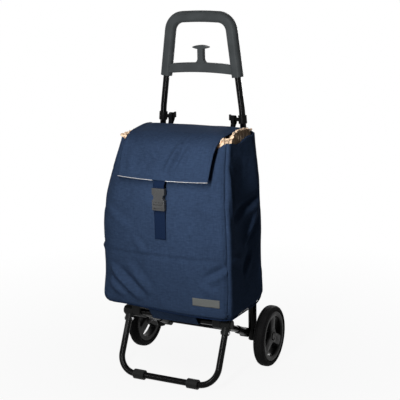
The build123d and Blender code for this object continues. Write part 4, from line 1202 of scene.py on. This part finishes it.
# %% Base tab
tube_low, tube_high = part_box("front_cross_tube")
tab_low, tab_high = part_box("base_tab")
TAB_CLOTH = 0.0016
TAB_INSET = 0.0012  # of its ends
TAB_BEND = 0.008
TAB_FINE = 0.004
TAB_CUTS = 30
tube_y = (tube_low.y + tube_high.y) / 2
under_tube = tab_low.z + TAB_CLOTH / 2
tube_reach = (tube_high.y - tube_low.y) / 2 + TAB_CLOTH
tab_corners = [
    (tab_low.y + TAB_INSET, tab_high.z),
    (tube_y - tube_reach, under_tube),
    (tube_y + tube_reach, under_tube),
    (tab_high.y - TAB_INSET, tab_high.z),
]
tab_path = rounded_path(tab_corners, TAB_BEND)
tab_bm = ribbon(cut_fine(tab_path, TAB_FINE), 0, tab_high.x - tab_low.x, TAB_CLOTH, TAB_CUTS)
under_tab = finish_piece("under_tab", tab_bm, navy_cloth, "base", ("base_tab",))

# %% [markdown]
# ## Label
# The label is a small bare patch sewn to the lower right of the front. A grid is dropped onto the bag's
# surface and lifted off it by a little more than its own thickness, less along its edges, so it follows the
# folds.

# %% Label
LABEL_LIFT = 0.0007
LABEL_EDGE_LIFT = 0.55  # share of the lift along the edges
LABEL_EDGE = 0.03  # share of the width
LABEL_RATIO = 0.28  # height to width
LABEL_CLOTH = 0.0005
LABEL_CELLS = (36, 12)  # across and up


def on_bag_front(x, z, lift=0.0):
    """Place on the front of the bag, lifted off the cloth."""
    place, normal = bag_surface.ray_cast(Vector((x, -1.0, z)), Vector((0, 1, 0)))[:2]
    return place + normal * lift


label_low, label_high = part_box("label_patch")
label_flat = (label_high.x - label_low.x, label_high.z - label_low.z)
label_bm = bmesh.new()
bmesh.ops.create_grid(label_bm, x_segments=LABEL_CELLS[0], y_segments=LABEL_CELLS[1], size=0.5)
lay_threads(label_bm, lambda p: p.x * label_flat[0], lambda p: p.y * label_flat[1])
for vert in label_bm.verts:
    x = mix(label_low.x, label_high.x, vert.co.x + 0.5)
    z = mix(label_low.z, label_high.z, vert.co.y + 0.5)
    from_edge = min(0.5 - abs(vert.co.x), (0.5 - abs(vert.co.y)) * LABEL_RATIO)
    raised = mix(LABEL_EDGE_LIFT, 1, smoothstep(0.0, LABEL_EDGE, from_edge))
    vert.co = on_bag_front(x, z, LABEL_LIFT * raised)
face_outwards(label_bm)
label = finish_piece("bare_label", label_bm, label_cloth, "frame", ("label_patch",))
thicken(label, LABEL_CLOTH)

# %% [markdown]
# ## Stitches
# A seam reads as sewn when its stitches show. Each stitch is a small stretched ball of twenty faces, laid
# along a line of points just proud of the cloth. Rows of them follow the edges of the flap and the front
# seams.

# %% Stitch helpers
STITCH_PITCH = 0.0046
STITCH_HALF_LENGTH = 0.0016
STITCH_RADIUS = 0.0005
STITCH_LIFT = 0.6 * STITCH_RADIUS  # of its middle above the cloth


def even_line(points, pitch):
    """Points at an even pitch along an open line of points."""
    even, left = [points[0]], pitch
    for a, b in zip(points, points[1:]):
        run = (b - a).length
        while run >= left:
            a = a.lerp(b, left / run)
            run -= left
            even.append(a)
            left = pitch
        left -= run
    return even


def sew(bm, points):
    """Add a row of stitches along a line of points."""
    row = even_line(points, STITCH_PITCH)
    size = Matrix.Diagonal((STITCH_HALF_LENGTH, STITCH_RADIUS, STITCH_RADIUS, 1))
    for here, ahead in zip(row, row[1:]):
        turned = (ahead - here).to_track_quat("X", "Z").to_matrix().to_4x4()
        place = Matrix.Translation((here + ahead) / 2) @ turned @ size
        bmesh.ops.create_icosphere(bm, subdivisions=1, radius=1, matrix=place)


# %% Rows of stitches
SEWN_IN = 0.006  # distance of a row from the edge it follows
ROW_STEPS = 60
EDGE_ROW_START = 0.012  # along the flap
HEM_ROW_START = 0.018  # beside the strap
SEAM_ROW_START = 0.016  # above the base
SEAM_ROW_END = 0.034  # below the rim
SEAM_STEPS = 80


def on_flap(across, distance):
    """Place on the flap's outer side."""
    place, normal = flap_surface.find_nearest(flap_point(across, distance))[:2]
    return place + normal * STITCH_LIFT


hem_half_width = FLAP_ROWS[-1][3]
flap_sewing = bmesh.new()
for side in (-1, 1):
    edge_row = []
    hem_row = []
    for step in range(ROW_STEPS + 1):
        distance = mix(EDGE_ROW_START, FLAP_LENGTH - SEWN_IN, step / ROW_STEPS)
        half_width = curve_through(FLAP_ROWS, distance)[2]
        edge_row.append(on_flap(side * (1 - SEWN_IN / half_width), distance))
        x = mix(HEM_ROW_START, hem_half_width - SEWN_IN, step / ROW_STEPS)
        hem_row.append(on_flap(side * x / hem_half_width, FLAP_LENGTH - SEWN_IN))
    sew(flap_sewing, edge_row)
    sew(flap_sewing, hem_row)
lay_threads(flap_sewing)
finish_piece("flap_stitches", flap_sewing, navy_thread, "flap")

front_sewing = bmesh.new()
for side in (-1, 1):
    seam_row = []
    for step in range(SEAM_STEPS + 1):
        z = mix(BAG_LOW + SEAM_ROW_START, BAG_TOP - SEAM_ROW_END, step / SEAM_STEPS)
        x = side * (seam_half_width(z, side) - SEAM_WIDTH - SEWN_IN)
        seam_row.append(on_bag_front(x, z, STITCH_LIFT))
    sew(front_sewing, seam_row)
lay_threads(front_sewing)
front_stitches = finish_piece("front_stitches", front_sewing, navy_thread, "frame")

# %% [markdown]
# ## Welt and base board
# Round the base of the bag runs a welt, a cord sewn into the seam, which is the tube of the piping again.
# Its line is found by looking at the bag from all round, and it drops with the hanging hem. The base board
# lies inside the bag and stiffens it: a block whose upright edges are rounded.

# %% Welt
WELT_RADIUS = 0.0017
WELT_SUNK = 0.0002
WELT_Z = BAG_LOW + 0.005
WELT_STEPS = 240
WELT_FULL_TURN = WELT_STEPS + 0.5  # the welt's ends stop just short of each other
WELT_PITCH = 0.004
bag_middle = Vector((0, (BAG_BACK + front_y(WELT_Z, 0.0)) / 2, WELT_Z))
welt_line = []
for step in range(WELT_STEPS + 1):
    angle = math.pi / 2 + 2 * math.pi * step / WELT_FULL_TURN
    outward = Vector((math.cos(angle), math.sin(angle), 0))
    place = bag_surface.ray_cast(bag_middle + outward, -outward)[0]
    welt_line.append(place - outward * WELT_SUNK - Vector((0, 0, hem_drop(place.x, place.y))))
welt = bmesh.new()
add_tube(welt, even_line(welt_line, WELT_PITCH), WELT_RADIUS)
face_outwards(welt)
lay_threads(welt, lambda p: p.x + p.y)
base_welt = finish_piece("base_welt", welt, navy_webbing, "frame")

# %% Base board
BOARD_CORNER = 0.022
board_low, board_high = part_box("base_board")
board_bm = bmesh.new()
bmesh.ops.create_cube(board_bm, size=1)
bmesh.ops.scale(board_bm, verts=board_bm.verts, vec=board_high - board_low)
bmesh.ops.translate(board_bm, verts=board_bm.verts, vec=(board_high + board_low) / 2)
bmesh.ops.bevel(
    board_bm, geom=edges_along(board_bm, 2), offset=BOARD_CORNER, segments=6, **ROUND_EDGES,
)
stiff_board = finish_piece(
    "stiff_board", board_bm, board_plastic, "frame", ("base_board",), smooth=False,
)

# %% [markdown]
# ## The wheels
# A wheel is a rubber tyre on a moulded hub with three broad spokes. A cylinder would be a poor tyre, so a
# profile with grooves on the tread and on each sidewall is spun round the axle instead.

# %% Tyre
tyre_low, tyre_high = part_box("right_tyre")
WHEEL_RADIUS = (tyre_high.z - tyre_low.z) / 2
WHEEL_HALF = (tyre_high.x - tyre_low.x) / 2
WHEEL_X = (tyre_high.x + tyre_low.x) / 2
WHEEL_Z = (tyre_high.z + tyre_low.z) / 2
RIM_RADIUS = (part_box("right_wheel_hub")[1].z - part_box("right_wheel_hub")[0].z) / 2
SPIN_STEPS = 96
# Distance below the tread and share of the half width, from the middle of the tread round to the rim
TYRE_PROFILE = (
    (0.0000, 0.00), (0.0000, 0.16), (0.0007, 0.19), (0.0007, 0.23), (0.0001, 0.26), (0.0003, 0.44),
    (0.0010, 0.47), (0.0010, 0.51), (0.0006, 0.54), (0.0020, 0.76), (0.0045, 0.92), (0.0075, 0.99),
    (0.0092, 1.00), (0.0098, 0.93), (0.0110, 0.93), (0.0116, 0.98), (0.0126, 0.97), (0.0131, 0.88),
)


def wheel_tyre():
    """A tyre round the X axis at the origin."""
    bm = bmesh.new()
    half = [(share * WHEEL_HALF, WHEEL_RADIUS - below) for below, share in TYRE_PROFILE]
    outline = [(-x, r) for x, r in reversed(half[1:])] + half
    verts = [bm.verts.new((x, 0, r)) for x, r in outline]
    edges = [bm.edges.new(pair) for pair in zip(verts, verts[1:] + verts[:1])]
    bmesh.ops.spin(
        bm, geom=verts + edges, cent=(0, 0, 0), axis=(1, 0, 0), angle=2 * math.pi, steps=SPIN_STEPS,
        use_merge=True,
    )
    bmesh.ops.remove_doubles(bm, verts=bm.verts, dist=1e-6)
    face_outwards(bm)
    return bm


print("wheel", round(2 * WHEEL_RADIUS, 3), "metres across")

# %% [markdown]
# ## The hubs
# The hub starts as one third of a disc: a grid bent round the axle, with its spoke raised to a roof and the
# cells of the window left out. Three such thirds make the face, an extrusion gives it its other side with a
# boss that reaches further in, and a subdivision surface rounds the windows. Cutting the windows out of a
# whole disc would leave sharp edges and long thin faces.

# %% Third of a hub
# Radius, and how far the outer face lies outside the wheel's middle
HUB_ROWS = (
    (0.0078, 0.0072), (0.0104, 0.0074), (0.0108, 0.0108), (0.0120, 0.0118), (0.0160, 0.0118),
    (0.0205, 0.0108), (0.0290, 0.0104), (0.0390, 0.0104), (0.0480, 0.0106), (0.0520, 0.0110),
    (0.0545, 0.0122), (0.0570, 0.0132), (0.0610, 0.0134), (0.0645, 0.0132), (RIM_RADIUS - 0.0001, 0.0118),
)
SPOKE_HALF_WIDTH = 0.0155
SPOKE_COLUMNS = 3  # each side of the spoke's middle
WINDOW_COLUMNS = 4
ROOF_HEIGHT = 0.0022
ROOF_RADII = (0.019, 0.026, 0.047, 0.054)  # it grows over the first two and ends over the last two
SPOKES = 3
WIDEST_SPOKE = 0.72  # share of a third that a spoke takes up at most


def hub_third_point(column, ring):
    """Place on the outer face of one third of the hub, the spoke's middle pointing up."""
    radius, face = HUB_ROWS[ring]
    side = 1 if column >= 0 else -1
    half_third = math.pi / SPOKES
    spoke_edge = min(math.asin(min(1.0, SPOKE_HALF_WIDTH / radius)), WIDEST_SPOKE * half_third)
    if abs(column) <= SPOKE_COLUMNS:
        angle = spoke_edge * abs(column) / SPOKE_COLUMNS
        roof = ROOF_HEIGHT * (1 - abs(column) / SPOKE_COLUMNS)
    else:
        share = (abs(column) - SPOKE_COLUMNS) / WINDOW_COLUMNS
        angle = mix(spoke_edge, half_third, share)
        roof = 0.0
    depth = face + roof * within(ROOF_RADII, radius)
    return Vector((depth, side * radius * math.sin(angle), radius * math.cos(angle)))


print("hub", round(2 * RIM_RADIUS, 3), "metres across")

# %% Hub
INNER_BOSS_RADIUS = 0.0135
INNER_BOSS_REACH = 0.0150
INNER_DEPTH = 0.0112
WINDOW_RINGS = (5, 9)  # the windows lie between these rings


def wheel_hub():
    """A spoked hub round the X axis at the origin."""
    bm = bmesh.new()
    columns = 2 * (SPOKE_COLUMNS + WINDOW_COLUMNS)
    rings = len(HUB_ROWS) - 1
    bmesh.ops.create_grid(bm, x_segments=columns, y_segments=rings, size=1)
    places = {
        vert: (round(vert.co.x * columns / 2), round((vert.co.y + 1) / 2 * rings)) for vert in bm.verts
    }
    window = []
    for face in bm.faces:
        cells = [places[vert] for vert in face.verts]
        beside_spoke = all(abs(column) >= SPOKE_COLUMNS for column, ring in cells)
        if beside_spoke and all(WINDOW_RINGS[0] <= ring <= WINDOW_RINGS[1] for column, ring in cells):
            window.append(face)
    for vert, (column, ring) in places.items():
        vert.co = hub_third_point(column, ring)
    bmesh.ops.delete(bm, geom=window, context="FACES")
    bmesh.ops.spin(
        bm, geom=bm.verts[:] + bm.edges[:] + bm.faces[:], cent=(0, 0, 0), axis=(1, 0, 0),
        angle=2 * math.pi * (SPOKES - 1) / SPOKES, steps=SPOKES - 1, use_duplicate=True,
    )
    bmesh.ops.remove_doubles(bm, verts=bm.verts, dist=1e-5)
    other_side = bmesh.ops.extrude_face_region(bm, geom=bm.faces[:])
    for item in other_side["geom"]:
        if isinstance(item, bmesh.types.BMVert):
            on_boss = math.hypot(item.co.y, item.co.z) < INNER_BOSS_RADIUS
            item.co.x = -INNER_BOSS_REACH if on_boss else -INNER_DEPTH
    return bm


# %% Both wheels
for side, sign in (("left", -1), ("right", 1)):
    body = side + "_wheel"
    middle = Vector((sign * WHEEL_X, AXLE_Y, WHEEL_Z))
    tyre_bm = wheel_tyre()
    bmesh.ops.translate(tyre_bm, verts=tyre_bm.verts, vec=middle)
    finish_piece(side + "_wheel_tyre", tyre_bm, tyre_rubber, body, (side + "_tyre",))
    hub_bm = wheel_hub()
    bmesh.ops.scale(hub_bm, verts=hub_bm.verts, vec=(sign, 1, 1))
    face_outwards(hub_bm)
    bmesh.ops.translate(hub_bm, verts=hub_bm.verts, vec=middle)
    replaced = (side + "_wheel_hub",)
    hub = finish_piece(side + "_spoked_hub", hub_bm, wheel_plastic, body, replaced)
    round_off(hub, 2)

# %% [markdown]
# ## When the base folds
# The bag hangs from its hooks while the base under it folds up, so the cloth crumples upwards. Here the
# shell and what is fixed to its front and base only get a mesh of their own each; their shape is left as
# it is.

# %% A mesh of their own
for cloth_piece in (bag_shell, label, stiff_board, front_stitches, base_welt):
    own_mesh(cloth_piece)
